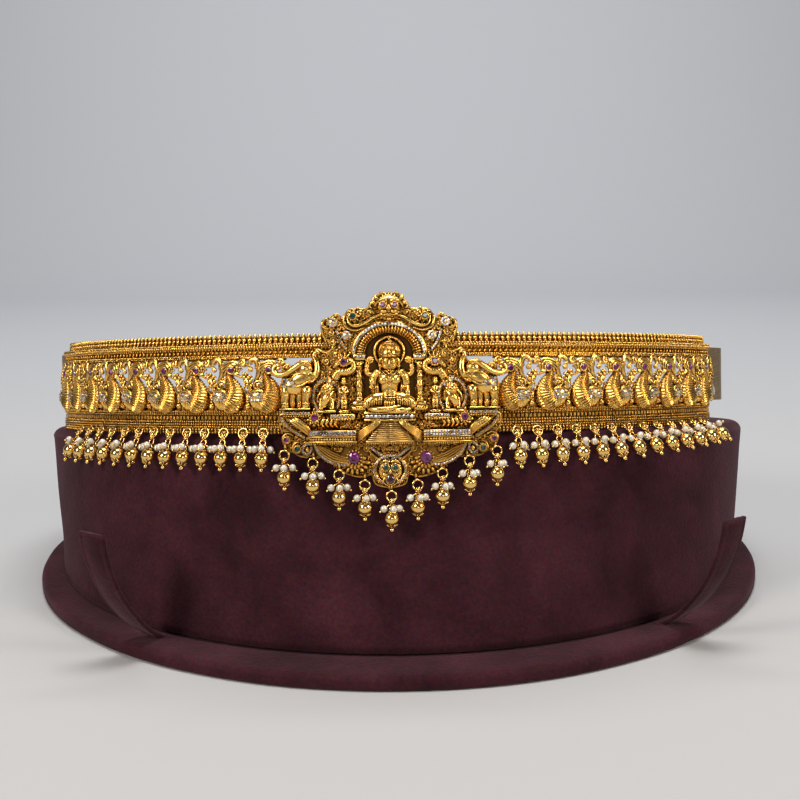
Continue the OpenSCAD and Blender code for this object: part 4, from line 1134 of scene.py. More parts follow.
niche = bent_plate([(-7.6, -9.3), (7.6, -9.3)] + niche_edge, [], 1.3, 1.42)
niche.materials[0] = gold_finish("black oxide", (0.1, 0.05, 0.015), (0.035, 0.015, 0.005), 0.5)
# A darker copy of the gold: painted shade for the filigree low on the ground and for the gold under the
# platforms.
shaded_gold = gold_finish("shaded gold", (0.8, 0.44, 0.09), (0.3, 0.12, 0.015), 0.28)
turn = np.linspace(0, 3 * math.pi, 13)
curl = Casting()
curl.bar(np.column_stack([(1 - 0.075 * turn) * np.cos(turn), (1 - 0.075 * turn) * np.sin(turn), 0.04 * turn]),
         (0.3, 0.34, 0.24), 4)
leaf = Casting()
for tilt in (-0.75, 0, 0.75):
    leaf.bar([(0, -0.9, 0), (0.75 * math.sin(tilt), -0.9 + 0.9 * math.cos(tilt), 0.35),
              (1.35 * math.sin(tilt), -0.9 + 1.9 * math.cos(tilt), 0)], (0.28, 0.42, 0.14), 5)


def filigree():
    """Curls and leaves strewn closely over the ground of the plate, clear of the niche, in the darker gold of
    painted shade.
    """
    chance = np.random.default_rng(11)
    spots = []
    for row in range(-21, 18):
        for column in range(20):
            u, v = 1.9 * (column + 0.5 * (row % 2)) + 0.4, 1.7 * row - 0.4
            crossings = sum((a[1] > v) != (b[1] > v) and u < (b[0] - a[0]) * (v - a[1]) / (b[1] - a[1]) + a[0]
                            for a, b in zip(edge, edge[1:] + edge[:1]))
            near_rim = min(math.hypot(u + a[0], v - a[1]) for a in plate_edge) < 1.0
            niche_here = u < 8.6 and -9.5 < v < arch_v or math.hypot(u, (v - arch_v) / 0.9) < 8.8
            frill = math.hypot(u - 10.9, v + 23.8) < 4.8
            if crossings % 2 and not (near_rim or niche_here or frill):
                spots.append((u, v))
    rolls = chance.uniform(0, 2 * math.pi, len(spots))
    picks = chance.uniform(0, 1, len(spots))
    meshes = []
    for item, low, high, size in ((curl.item("curl"), 0, 0.5, 1.05), (leaf.item("leaf"), 0.5, 1, 1.1)):
        chosen = [(u * side, v, r * side) for (u, v), r, k in zip(spots, rolls, picks) if low <= k < high
                  for side in (-1, 1)]
        meshes.append(set_items(item, on_belt([c[0] for c in chosen], [c[1] for c in chosen], 1.5),
                                [belt_turn(c[0], c[2]) for c in chosen], size, shaded_gold))
    return meshes


wall = Jewel()
# Rim, small scrolls and grains over the ground.
rim = np.array([(u, v, 1.35) for u, v in plate_edge])
wall.strand(rim, 200, 0.42)
wall.pebbles(spline(rim * [0.955, 0.965, 1] + [0, 0, 0.25], 160), 0.72, 0.33, 6, 3)
for centre, size, start, way in (
    ((-8.9, 21.2), 1.5, 3.6, 1), ((-5.6, 21.7), 1.2, 0.4, -1), ((-15.2, 17.9), 1.3, 2.0, 1),
    ((-17.9, 15.5), 1.5, 4.2, -1), ((-17.2, 12.6), 1.1, 1.0, 1), ((-16.4, 8.8), 1.4, 2.5, -1),
    ((-19.4, 6.6), 1.5, 0.3, 1), ((-18.2, 3.2), 1.3, 4.8, -1), ((-20.9, 2.4), 1.1, 3.3, 1),
    ((-14.6, -6.9), 1.3, 1.2, 1), ((-12.6, -10.3), 1.4, 5.2, -1), ((-9.8, -13.3), 1.3, 0.2, 1),
    ((-12.9, -13.2), 1.1, 2.8, -1), ((-24.6, -12.6), 1.2, 3.9, 1), ((-28.1, -13.2), 1.0, 0.9, 1),
    ((-31.7, -5.8), 1.3, 4.4, 1), ((-26.9, -7.2), 1.0, 2.2, -1), ((-20.3, -21.2), 1.3, 0.6, 1),
    ((-16.6, -20.8), 1.2, 2.9, -1), ((-7.1, -20.6), 1.2, 0.8, 1), ((-10.2, -20.3), 1.0, 3.6, -1),
    ((-4.4, -20.2), 1.2, 2.1, -1), ((-2.0, -20.0), 0.9, 0.1, 1), ((-29.9, -1.0), 1.0, 0.4, -1),
    ((-6.8, 18.0), 0.9, 2.2, 1), ((-11.9, 18.2), 0.9, 0.6, -1), ((-31.9, 0.9), 1.1, 5.5, 1),
):
    wall.spiral(centre, size, 1.35, start, way, 0.34, 1.45, 0.42)
for u, v in ((-4.2, 24.6), (-9.6, 23), (-13.9, 16.6), (-19.4, 17.3), (-15.2, 10.9), (-22, 8.2), (-15.2, 4.4),
             (-12.1, -5.4), (-11.4, -7.6), (-25.4, -10.4), (-29.8, -14.4), (-27.9, -17.6), (-22.4, -19.7),
             (-13.6, -26.3), (-18.7, -24.2), (-6.4, -23.2), (-6.1, -26.3), (-3.2, 19.8), (-1.1, 20.1),
             (-32.3, -8)):
    wall.ball((u, v, 1.6), (0.55, 0.55, 0.6))
# Half of the arch: a jewelled bar, a ribbed lining and beads.
arc = np.linspace(math.pi, math.pi / 2, 40)


def over_arch(radius, out):
    return np.column_stack([radius * np.cos(arc), np.sin(arc) * arch_squash * radius + arch_v, 0 * arc + out])


wall.bar(over_arch(arch_r, 1.9), 1.15, 10, 0.8)
wall.pave(over_arch(arch_r, 2.75), 1.03, 0.5, 0)
wall.pebbles(over_arch(12.0, 1.9), 0.6, (0.3, 0.3, 0.35), 6, 3)
ribs = np.linspace(math.pi, math.pi / 2, 121)
wall.bar(round_path(ribs, arch_v, 8.9, 8.9 * arch_squash, 2.2),
         1.15 + 0.3 * np.cos(np.arange(121) * math.pi / 4), 12)
wall.bar(over_arch(7.7, 1.9), 0.3)
wall.strand([(-8.4, 8.6, 1.8), (-7.2, 6.6, 2.0), (-7.4, 4.4, 2.0), (-8.6, 3.6, 1.8)], 12, 0.4)
# Pillar: capital, turned shaft and foot.
wall.block((-10.9, 6.9, 1.2), (-7.3, 8.9, 3.3))
wall.pave([(-10.4, 7.9, 3.4), (-7.8, 7.9, 3.4)], 0.95, 0.42, 0)
wall.block((-10.6, 5.9, 1.2), (-7.7, 6.6, 3.0))
shaft_v = (5.9, 5.2, 4.5, 3.9, 3.2, 2.5, 1.9, 1.2, 0.1, -1.2, -2.5, -3.3, -3.9, -4.4, -5.0, -5.7)
shaft_r = (1.3, 0.8, 1.25, 0.75, 1.15, 0.7, 1.2, 0.85, 1.0, 1.15, 1.0, 0.7, 1.2, 0.75, 1.3, 1.4)
wall.bar([(-9.2, v, 2.4) for v in shaft_v], shaft_r, 12)
for v in (4.85, 3.5, 1.9, -3.6, -4.7):
    wall.ring((-9.2, v, 2.4), 1.15, 0.17, axis=(0, 1, 0), count=16)
wall.block((-11.0, -7.2, 1.2), (-7.5, -5.8, 3.6))
wall.block((-11.4, -8.6, 1.2), (-7.2, -7.4, 4.0))
wall.pebbles([(-11, -8.0, 4.05), (-7.6, -8.0, 4.05)], 0.65, (0.27, 0.3, 0.2))
# Scrolls and flowers beside the top of the arch.
for line in (
    [(-12.7, 20.9, 2.2), (-12.2, 18.6, 2.6), (-10.3, 17.5, 2.9), (-7.6, 18.2, 2.8), (-4.9, 19.9, 2.6),
     (-2.0, 21.2, 2.3)],
    [(-12.3, 22.1, 1.9), (-13.6, 20.4, 2.1), (-13.3, 17.6, 2.3), (-10.6, 16.2, 2.4), (-7.4, 16.9, 2.3)],
):
    wall.strand(line, 30, (0.3, 0.55, 0.5, 0.3), 7)
wall.petals((-10.9, 20.5), 1.2, 2.1, 9, 0, wide=0.34, out=2.4)
wall.bezel((-10.9, 20.5), 0.95, 3.7)
for centre, spots in (((-13.1, 14.6), 7), ((-17.2, 18.7), 9)):
    wall.ball((*centre, 1.8), (1.9, 1.8, 1.3), 12, 6)
    wall.stone((*centre, 3.15), 0.5)
    for a in full_turn(spots):
        wall.stone((centre[0] + 1.15 * math.cos(a), centre[1] + 1.1 * math.sin(a), 2.85), 0.4)
        wall.ball((centre[0] + 1.9 * math.cos(a), centre[1] + 1.8 * math.sin(a), 2.0), 0.38, 6, 4)
wall.strand([(-18.6, 16.8, 1.8), (-20.1, 17.4, 2.4), (-20.5, 19.0, 2.2), (-19.2, 19.9, 2.0)], 12,
            (0.5, 0.45, 0.25))
wall.strand([(-15.2, 20.4, 1.8), (-15.8, 21.2, 2.4), (-17.0, 21.0, 2.2)], 10, (0.4, 0.4, 0.2))
wall.pave(spline([(-16.0, 16.2, 2.2), (-14.6, 12.4, 2.3), (-13.2, 10.4, 2.3)], 14), 0.85, 0.36, 0.5)
# Rope scroll at the side, over the elephant.
rope = spline([(-28.0, 3.2, 1.9), (-29.6, 2.2, 2.3), (-31.4, 2.6, 2.6), (-32.9, 3.9, 2.5), (-32.4, 5.3, 2.4),
               (-31.2, 5.4, 2.3), (-30.9, 4.5, 2.4)], 60)
wall.bar(rope, np.where(np.arange(60) % 3 == 1, 0.85, 0.62) * np.linspace(1.1, 0.7, 60), 10)
wall.ball((-31.6, 4.7, 2.9), 0.6)
wall.bar([(-33.2, 5.6, 1.6), (-33.3, 6.3, 1.6), (-33.3, 7.3, 1.6)], (0.55, 0.8, 0.3), 8)
# Ledges under the elephant and under the lion.
wall.block((-33.0, -9.9, 1.2), (-24.2, -8.9, 4.2))
wall.pave([(-32.6, -9.4, 4.3), (-24.6, -9.4, 4.3)], 0.95, 0.4, 0)
wall.lotus(-32.8, -24.4, -10.5, 0.7, 3.6, 11)
wall.block((-18.0, -11.4, 1.2), (-10.4, -9.8, 4.6))
wall.pave([(-17.5, -10.3, 4.7), (-10.9, -10.3, 4.7)], 0.9, 0.38, 0)
wall.lotus(-17.8, -10.6, -11.6, 0.8, 4.4, 9)
# Horseshoe frame round the lion, and the flower at its foot.
horse = spline([(-16.3, -8.2, 2.4), (-15.1, -5.4, 2.5), (-15.2, -2.2, 2.6), (-17.0, 0.2, 2.6),
                (-19.3, 0.8, 2.6), (-21.7, 0.1, 2.6), (-23.3, -2.2, 2.6), (-23.4, -5.4, 2.5),
                (-22.3, -8.2, 2.4)], 50)
wall.pave(horse, 0.98, 0.43, 0.66)
swell = (horse - [-19.2, -4, 0]) * [0.17, 0.17, 0]
wall.pebbles(horse + swell - [0, 0, 0.5], 0.62, 0.3, 6, 3)
wall.pebbles(horse - swell - [0, 0, 0.4], 0.62, 0.26, 6, 3)
wall.petals((-22.9, -10.9), 1.3, 3.0, 11, 0, wide=0.55, out=2.5)
wall.petals((-22.9, -10.9), 1.1, 2.0, 11, 0.28, wide=0.4, out=3.0)
wall.bezel((-22.9, -10.9), 1.15, 3.3)
for k in range(4):
    u = -20.4 + 1.35 * k
    wall.strand([(u - 0.5, -9.9, 2.2), (u + 0.3, -11.3, 3.4), (u - 0.4, -12.8, 3.3), (u + 0.6, -14.4, 2.2)],
                12, (0.3, 0.62, 0.6, 0.3), 7, 0.7)
# Broad platform with two rows of stones and lotus petals.
wall.block((-24.3, -16.6, 1.2), (-10.1, -14.8, 5.0))
wall.pave([(-23.8, -15.3, 5.1), (-10.6, -15.3, 5.1)], 0.9, 0.4, 0)
wall.pave([(-23.8, -16.15, 5.1), (-10.6, -16.15, 5.1)], 0.9, 0.4, 0)
wall.block((-24.5, -18.6, 1.2), (-9.9, -18.1, 5.4))
wall.block((-24.4, -17.0, 1.2), (-10.0, -16.6, 5.4))
wall.lotus(-24.2, -10.1, -18.1, 1.2, 4.9, 17)
wall.pebbles([(-24.2, -18.9, 5.0), (-10.2, -18.9, 5.0)], 0.62, 0.3)
# Banister, stair and the ledges over and under it.
for k in range(5):
    shift = 0.55 * (k - 2)
    wall.strand([(-10.4 - 0.3 * shift, -17.4 + shift, 3.6), (-7.2, -15.1 + shift, 4.6),
                 (-4.4, -13.0 + shift * 0.7, 4.6), (-2.6, -11.9 + shift * 0.2, 3.8)], 16,
                (0.25, 0.42, 0.36, 0.18))
for row in range(10):
    v, half = -12.2 - 0.6 * row, 2.9 + 0.4 * row
    wall.block((-half, v - 0.28, 1.2), (0.05, v + 0.16, 3.2 + 0.22 * row), bevel=0.08)
wall.block((-7.2, -18.6, 1.2), (0.05, -18.0, 5.5))
wall.pebbles([(-6.9, -18.9, 5.2), (-0.35, -18.9, 5.2)], 0.62, 0.3)
wall.block((-7.7, -9.8, 1.2), (0.05, -9.2, 4.9))
wall.block((-7.7, -11.9, 1.2), (0.05, -11.3, 4.9))
wall.bar([(-7.3, -10.55, 4.2), (0, -10.55, 4.2)], 0.85, 8, 0.8)
for k in range(6):
    wall.stone((-0.62 - 1.2 * k, -10.55, 5.0), 0.55)
    wall.ball((-1.22 - 1.2 * k, -10.55, 4.85), (0.18, 0.55, 0.2), 5, 4)
# Lower corner: jewelled edge, ribs and two scrolls with collets.
wall.pave(spline([(-33.7, -10.9, 2.2), (-32.4, -12.8, 2.3), (-30.4, -14.6, 2.4), (-26.6, -17.0, 2.4)], 20),
          0.95, 0.42, 0.68)
for k in range(3):
    shift = 0.85 * k
    wall.strand([(-32.4 + shift, -10.7 + 0.3 * k, 2.2), (-30.2 + shift, -11.9 + 0.3 * k, 3.3),
                 (-27.2 + shift, -14.2 + 0.3 * k, 3.3), (-24.4 + 0.4 * shift, -16.9 + 0.2 * k, 2.2)], 18,
                (0.35, 0.62, 0.6, 0.3), 8, 0.8)
for centre, start in (((-32.0, -17.8), 0.6), ((-28.6, -20.7), 1.4)):
    wall.spiral(centre, 2.2, 0.8, start, 1, 0.5, 1.9, 0.3)
wall.bezel((-32.0, -17.8), 0.9, 3.0)
wall.bezel((-28.6, -20.7), 0.95, 3.0)
# Foot: jewelled drop, ribbed crescent and the fan of petals round the big ruby.
drop_shape = spline([(-24.4, -18.9, 2.3), (-26.4, -19.6, 2.5), (-27.0, -21.2, 2.5), (-25.7, -22.2, 2.5),
                     (-24.4, -21.2, 2.5), (-24.4, -18.9, 2.3)], 24)
wall.pave(drop_shape, 0.85, 0.36, 0.5)
wall.ball((-25.5, -20.9, 2.4), (0.75, 1.0, 0.7))
for k, (shift, wire) in enumerate(((0, 0), (0.95, 0.42), (1.8, 0.4), (2.6, 0.36), (3.3, 0.3))):
    line = spline([(-23.2 + shift * 0.5, -19.4 - shift * 0.1, 2.3),
                   (-21.7 + shift * 0.6, -22.2 + shift * 0.5, 2.6),
                   (-18.2 + shift * 0.4, -24.7 + shift * 0.8, 2.8),
                   (-14.2 + shift * 0.2, -25.6 + shift * 0.7, 2.8), (-12.4, -24.6 + shift * 0.4, 2.8)], 30)
    if k == 0:
        wall.pave(line, 0.92, 0.42, 0.62)
    else:
        wall.bar(line, (wire * 0.7, wire, wire * 0.8))
wall.petals((-10.9, -23.6), 1.7, 3.4, 9, math.pi * 1.02, math.pi * 0.98, wide=0.6, out=2.4)
wall.petals((-10.9, -23.9), 2.6, 4.9, 8, math.pi * 1.08, math.pi * 0.84, wide=0.62, out=1.9)
wall.petals((-10.9, -23.3), 1.7, 2.5, 14, 0, wide=0.34, out=3.0)
wall.pave(spline([(-5.6, -20.4, 2.4), (-3.4, -22.3, 2.6), (-0.6, -23.9, 2.8)], 14), 0.85, 0.36, 0.5)
wall.strand([(-6.4, -21.4, 2.0), (-4.2, -23.4, 2.4), (-2.8, -24.6, 2.4)], 12, (0.3, 0.42, 0.3))
# Hooks for the nine drops.
for u, v in drop_table:
    if u < 1:
        wall.ring((min(u, 0.3), v + 0.95, 2.7), 0.75, 0.26, axis=(1, 0, 0), count=14)
        wall.bar([(u, v + 1.8, 1.2), (u, v + 1.2, 2.4), (u, v + 0.7, 3.5)], (0.5, 0.45, 0.3), 7)

middle = Jewel()
middle.bar(round_path(np.linspace(0, 2 * math.pi, 49), halo_v, 4.55, 4.55, 2.1), 0.4)
middle.bar([(0, halo_v, 0.9), (0, halo_v, 1.5)], 4.5, 40)
middle.ring((0, -23.3, 2.4), 0.8, 0.3, count=14)
middle.ball((0, 19.6, 2.2), (0.8, 0.8, 0.7))
middle.petals((0, 19.6), 0.8, 1.7, 8, 0, wide=0.34, out=2.0)
joined("medallion_cast", [plate, niche] + filigree() + wall.parts(False, True) + wall.parts(True, True)
       + middle.parts(False, True), "antique_gold", "medallion_plate")

# The two masks: the lion face with horns over the arch, and the gem faced one below the stair.
# Both are cast with bulging brows, cheeks and a row of clear stones, and are soldered on.


def top_mask():
    face = Jewel()
    face.ball((0, 23.7, 2.6), (3.6, 3.5, 1.9), 18, 10)
    face.both(face.bezel, (1.75, 23.8), 0.85, 5.1)
    face.both(face.strand, [(0.5, 24.9, 4.4), (1.8, 25.5, 4.6), (3.4, 24.7, 3.9), (4.3, 23.4, 3.0)], 12,
              (0.45, 0.6, 0.4, 0.25), 7)
    face.both(face.strand, [(2.9, 25.3, 3.2), (4.0, 26.2, 3.2), (4.1, 27.2, 2.8)], 10, (0.6, 0.45, 0.15), 8)
    face.both(face.strand, [(3.7, 24.2, 2.6), (5.0, 24.6, 2.6), (5.8, 23.9, 2.3), (5.2, 23.0, 2.3)], 12,
              (0.5, 0.55, 0.4, 0.3), 7)
    face.both(face.ball, (1.5, 21.9, 4.1), (1.15, 0.85, 0.9), 10, 6)
    face.both(face.strand, [(0.3, 21.1, 4.2), (1.9, 20.9, 4.2), (3.2, 21.8, 3.4)], 12, (0.35, 0.42, 0.25))
    face.both(face.ball, (0.45, 22.7, 5.0), (0.45, 0.35, 0.4))
    face.ball((0, 23.0, 4.6), (0.75, 1.0, 0.9), 10, 7)
    face.ball((0, 20.8, 3.6), (0.9, 0.6, 0.7))
    for k in range(7):
        a = math.radians(35 + 110 * k / 6)
        face.bar([(2.7 * math.cos(a), 24.2 + 2.4 * math.sin(a), 3.2),
                  (3.1 * math.cos(a), 24.3 + 3.5 * math.sin(a), 2.6)], (0.5, 0.3))
    face.stone((0, 25.9, 4.25), 0.5)
    for k in (-2, -1, 1, 2):
        face.stone((1.0 * k, 26.0 - 0.1 * k * k, 4.1 - 0.15 * abs(k)), 0.38)
    return face


def lower_mask():
    face = Jewel()
    face.ball((0, -27.4, 2.0), (3.9, 3.9, 1.6), 18, 9)
    a = np.radians(np.linspace(-62, 242, 44))
    face.pave(round_path(a, -27.2, 4.7, 4.5, 2.6), 0.93, 0.42, 0.64)
    face.pebbles(round_path(a, -27.2, 5.5, 5.3, 1.9), 0.66, 0.3)
    face.both(face.bezel, (1.45, -26.3), 0.98, 4.1)
    face.both(face.strand, [(0.2, -24.7, 3.4), (1.7, -24.3, 3.6), (3.1, -25.3, 3.1)], 12, (0.4, 0.5, 0.25), 7)
    face.both(face.ball, (1.5, -28.5, 3.0), (1.2, 0.85, 0.9), 10, 6)
    face.both(face.strand, [(1.2, -29.6, 2.8), (2.2, -30.4, 2.6), (1.6, -31.5, 2.4), (0.2, -32.3, 2.4)], 12,
              0.36)
    face.ball((0, -27.6, 4.0), (0.6, 0.8, 0.7), 10, 7)
    face.ring((0, -29.9, 3.3), 1.32, 0.25, count=26, stretch=1.3)
    face.bar([(0, -29.9, 1.6), (0, -29.9, 3.1)], 1.3, 14)
    return face


joined("top_mask_cast", top_mask().parts(), "antique_gold", "top_mask")
joined("lower_mask_cast", lower_mask().parts(), "antique_gold", "lower_mask")

# The seated goddess: a figure cast nearly in the round, cross legged in front of the niche, with
# four arms, a tiered crown, necklaces and a pleated skirt. Her face is plain and calm.


def goddess():
    form = Jewel()
    # Folded legs with pleats, four arms with armlets, flowers, earrings and the bodice.
    for k in range(7):
        u = 2.2 + 0.68 * k
        form.both(form.strand, [(u, -3.9 - 0.2 * k, 4.4), (u + 0.25, -5.4 - 0.15 * k, 5.5),
                                (u + 0.35, -7.2 - 0.06 * k, 4.8)], 8, (0.18, 0.28, 0.18), 5)
    form.both(form.strand, [(2.0, -4.7, 2.7), (4.6, -5.3, 3.4), (7.0, -6.5, 3.6)], 14, (2.1, 2.15, 1.5), 14)
    form.both(form.ball, (6.8, -6.8, 3.6), (1.5, 1.45, 1.4), 12, 8)
    form.both(form.strand, [(3.3, 3.1, 3.0), (4.6, 1.6, 3.2), (5.1, -0.7, 3.3)], 10, (1.5, 1.4, 1.15), 12)
    form.both(form.strand, [(3.6, 3.1, 2.6), (5.8, 2.3, 2.7), (6.9, 3.3, 3.3), (6.75, 4.6, 3.9)], 12,
              (1.0, 0.85, 0.7, 0.6), 10)
    form.both(form.ring, (6.75, 3.9, 3.6), 0.62, 0.2, axis=(0, 1, 0.3), count=12)
    form.both(form.ball, (6.6, 4.9, 3.9), (0.65, 0.65, 0.55), 10, 6)
    form.both(form.bar, [(6.4, 5.2, 3.9), (6.0, 6.2, 3.9)], 0.2)
    form.both(form.petals, (5.75, 6.9), 0.2, 1.15, 9, wide=0.36, out=3.6, rise=0.5)
    form.both(form.ball, (5.75, 7.2, 4.2), (0.5, 0.8, 0.5), 10, 6)
    form.both(form.strand, [(1.1, 7.9, 3.1), (2.5, 7.0, 2.6), (2.8, 5.0, 2.6), (2.5, 3.2, 2.6)], 12,
              (0.5, 0.7, 0.6, 0.4), 8)
    form.both(form.ball, (2.75, 5.0, 3.4), (0.65, 0.65, 0.5), 10, 6)
    form.both(form.ring, (2.75, 5.0, 3.75), 0.42, 0.16, count=12)
    form.both(form.ball, (2.75, 4.0, 3.3), (0.42, 0.5, 0.4))
    form.both(form.ball, (1.75, 0.7, 4.2), (1.6, 1.55, 1.45), 16, 10)
    form.both(form.strand, [(0.5, 3.4, 4.0), (1.7, 1.4, 5.1), (0.5, -0.7, 5.0), (0, -1.4, 4.9)], 14, 0.2)
    for side in (-1, 1):
        form.ring((4.5 * side, 1.9, 3.3), 1.12, 0.32, axis=(0.35 * side, 0.93, 0), count=16)
    # The front hands: the left one raised, the right one lowered.
    form.strand([(-5.0, -0.6, 3.1), (-5.4, -1.8, 4.0), (-5.3, -1.0, 5.0)], 10, (0.7, 0.6, 0.5), 10)
    form.ball((-5.25, 0.0, 5.2), (0.75, 0.95, 0.4), 10, 6)
    for k in range(4):
        form.bar([(-5.75 + 0.33 * k, 0.5, 5.2), (-5.8 + 0.36 * k, 1.45 - 0.08 * abs(k - 1.5), 5.2)],
                 (0.19, 0.14))
    form.strand([(5.0, -0.6, 3.1), (5.5, -1.8, 4.1), (5.4, -2.6, 5.0)], 10, (0.7, 0.6, 0.5), 10)
    form.ball((5.4, -3.1, 5.1), (0.75, 0.85, 0.45), 10, 6)
    for k in range(4):
        form.bar([(4.95 + 0.32 * k, -3.5, 5.2), (4.9 + 0.35 * k, -4.5, 5.2)], (0.18, 0.13))
    for side, v in ((-1, -1.3), (1, -2.3)):
        form.ring((5.3 * side, v, 4.4), 0.66, 0.2, axis=(0, 0.8, 0.6), count=12)
    # Body, belly, neck and head.
    form.bar([(0, 3.4, 3.2), (0, 2.2, 3.1), (0, 0.8, 3.0), (0, -1.2, 3.0), (0, -3.2, 3.0), (0, -4.8, 3.0),
              (0, -5.6, 3.0)], (1.4, 3.7, 3.5, 2.75, 2.5, 3.0, 3.2), 20, 0.72)
    form.ball((0, -2.7, 4.3), (1.5, 1.1, 0.6), 12, 6)
    form.bar([(0, 4.4, 3.2), (0, 2.9, 3.2)], 1.05, 12)
    form.ball((0, 6.1, 3.5), (2.5, 3.0, 2.0), 24, 18)
    # Shawl behind the arms, then eyes, brows and cheeks.
    form.both(form.strand, [(3.3, 3.2, 2.2), (4.2, 0.6, 2.3), (4.3, -2.0, 2.3), (4.0, -4.8, 2.5)], 12,
              (1.1, 1.5, 1.6, 1.3), 10)
    for k in (-1, 0, 1):
        form.both(form.bar, [(4.1 + 0.6 * k, 1.0, 3.6), (4.3 + 0.55 * k, -1.8, 3.9),
                             (4.1 + 0.6 * k, -4.4, 3.9)], (0.16, 0.24, 0.18))
    form.both(form.ball, (0.95, 6.4, 5.22), (0.58, 0.26, 0.38), 12, 7)
    form.both(form.strand, [(0.4, 6.22, 5.55), (0.95, 6.1, 5.6), (1.5, 6.3, 5.2)], 8, 0.1, 5)
    form.both(form.strand, [(0.28, 7.0, 5.45), (0.95, 7.25, 5.4), (1.7, 6.9, 4.95)], 10, (0.14, 0.22, 0.12))
    form.both(form.ball, (1.15, 5.0, 4.85), (0.75, 0.7, 0.55), 10, 7)
    # Nose, lips and chin.
    form.bar([(0, 7.0, 5.35), (0, 6.2, 5.75), (0, 5.65, 6.05)], (0.18, 0.24, 0.36), 8)
    form.ball((0, 4.75, 5.4), (0.66, 0.15, 0.3), 10, 5)
    form.ball((0, 4.38, 5.25), (0.52, 0.19, 0.32), 10, 5)
    form.ball((0, 3.6, 4.75), (0.65, 0.42, 0.5), 10, 6)
    # Crown in four tiers.
    form.bar([(0, 8.0, 3.2), (0, 8.8, 3.3), (0, 9.6, 3.3), (0, 10.5, 3.2), (0, 11.4, 3.0), (0, 12.3, 2.8),
              (0, 13.1, 2.6)], (2.6, 2.75, 2.45, 1.9, 1.3, 0.85, 0.35), 20, 0.85)
    for v, r in ((8.1, 2.6), (10.2, 1.95), (11.3, 1.3), (12.1, 0.95)):
        form.ring((0, v, 3.25), r, 0.22, axis=(0, 1, 0), count=24)
        for k in range(11):
            a = math.radians(200 + 140 * k / 10)
            form.ball((r * math.cos(a), v + 0.42, 3.25 - (r + 0.05) * math.sin(a)), (0.22, 0.3, 0.22), 6, 4)
    form.ball((0, 9.2, 5.45), (0.5, 0.7, 0.35), 8, 6)
    form.ball((0, 13.3, 2.6), 0.4)
    # Three necklaces, girdles and the crossed feet on their cushion.
    for drop, wire, spread in ((3.0, 0.3, 1.5), (1.9, 0.28, 2.2), (0.4, 0.25, 2.8)):
        line = spline([(-spread, 3.4, 4.0), (-spread * 0.6, drop + 0.4, 5.1), (0, drop - 0.5, 5.5),
                       (spread * 0.6, drop + 0.4, 5.1), (spread, 3.4, 4.0)], 24)
        form.pebbles(line, wire * 1.8, wire)
    form.ball((0, 1.1, 5.3), (0.4, 0.5, 0.3))
    for v in (-1.1, -4.1, -4.8):
        form.ring((0, v, 2.9), 2.0 + 0.2 * abs(v + 1.1), 0.22, axis=(0, 1, 0), count=22)
    form.strand([(-6.2, -8.2, 3.6), (-3.4, -8.4, 5.0), (0.2, -8.2, 5.3), (2.0, -7.5, 5.2)], 16,
                (0.95, 1.0, 0.85, 0.55), 10)
    form.strand([(6.2, -8.2, 3.6), (3.4, -8.7, 4.7), (0.6, -8.9, 4.9), (-1.8, -8.7, 4.7)], 16,
                (0.95, 1.0, 0.85, 0.5), 10)
    form.ball((2.6, -7.3, 5.2), (0.75, 0.4, 0.4), 10, 6)
    for k in range(5):
        form.bar([(-1.2 + 0.6 * k, -4.9, 4.9), (-1.4 + 0.7 * k, -6.4, 5.45), (-1.3 + 0.65 * k, -7.7, 5.3)],
                 (0.18, 0.28, 0.24))
    form.pebbles(spline([(-2.6, -4.5, 4.3), (0, -5.0, 5.2), (2.6, -4.5, 4.3)], 20), 0.45, 0.24)
    form.strand([(-7.9, -9.1, 3.2), (-4, -9.5, 4.0), (0, -9.6, 4.2), (4, -9.5, 4.0), (7.9, -9.1, 3.2)], 20,
                0.4, 8)
    return form


joined("goddess_cast", goddess().parts(), "antique_gold", "seated_goddess")

# The animals: elephants with raised trunks, small lions in jewelled frames with a standing
# attendant beside each, and the peacock heads that flank the arch. All are castings, soldered on.


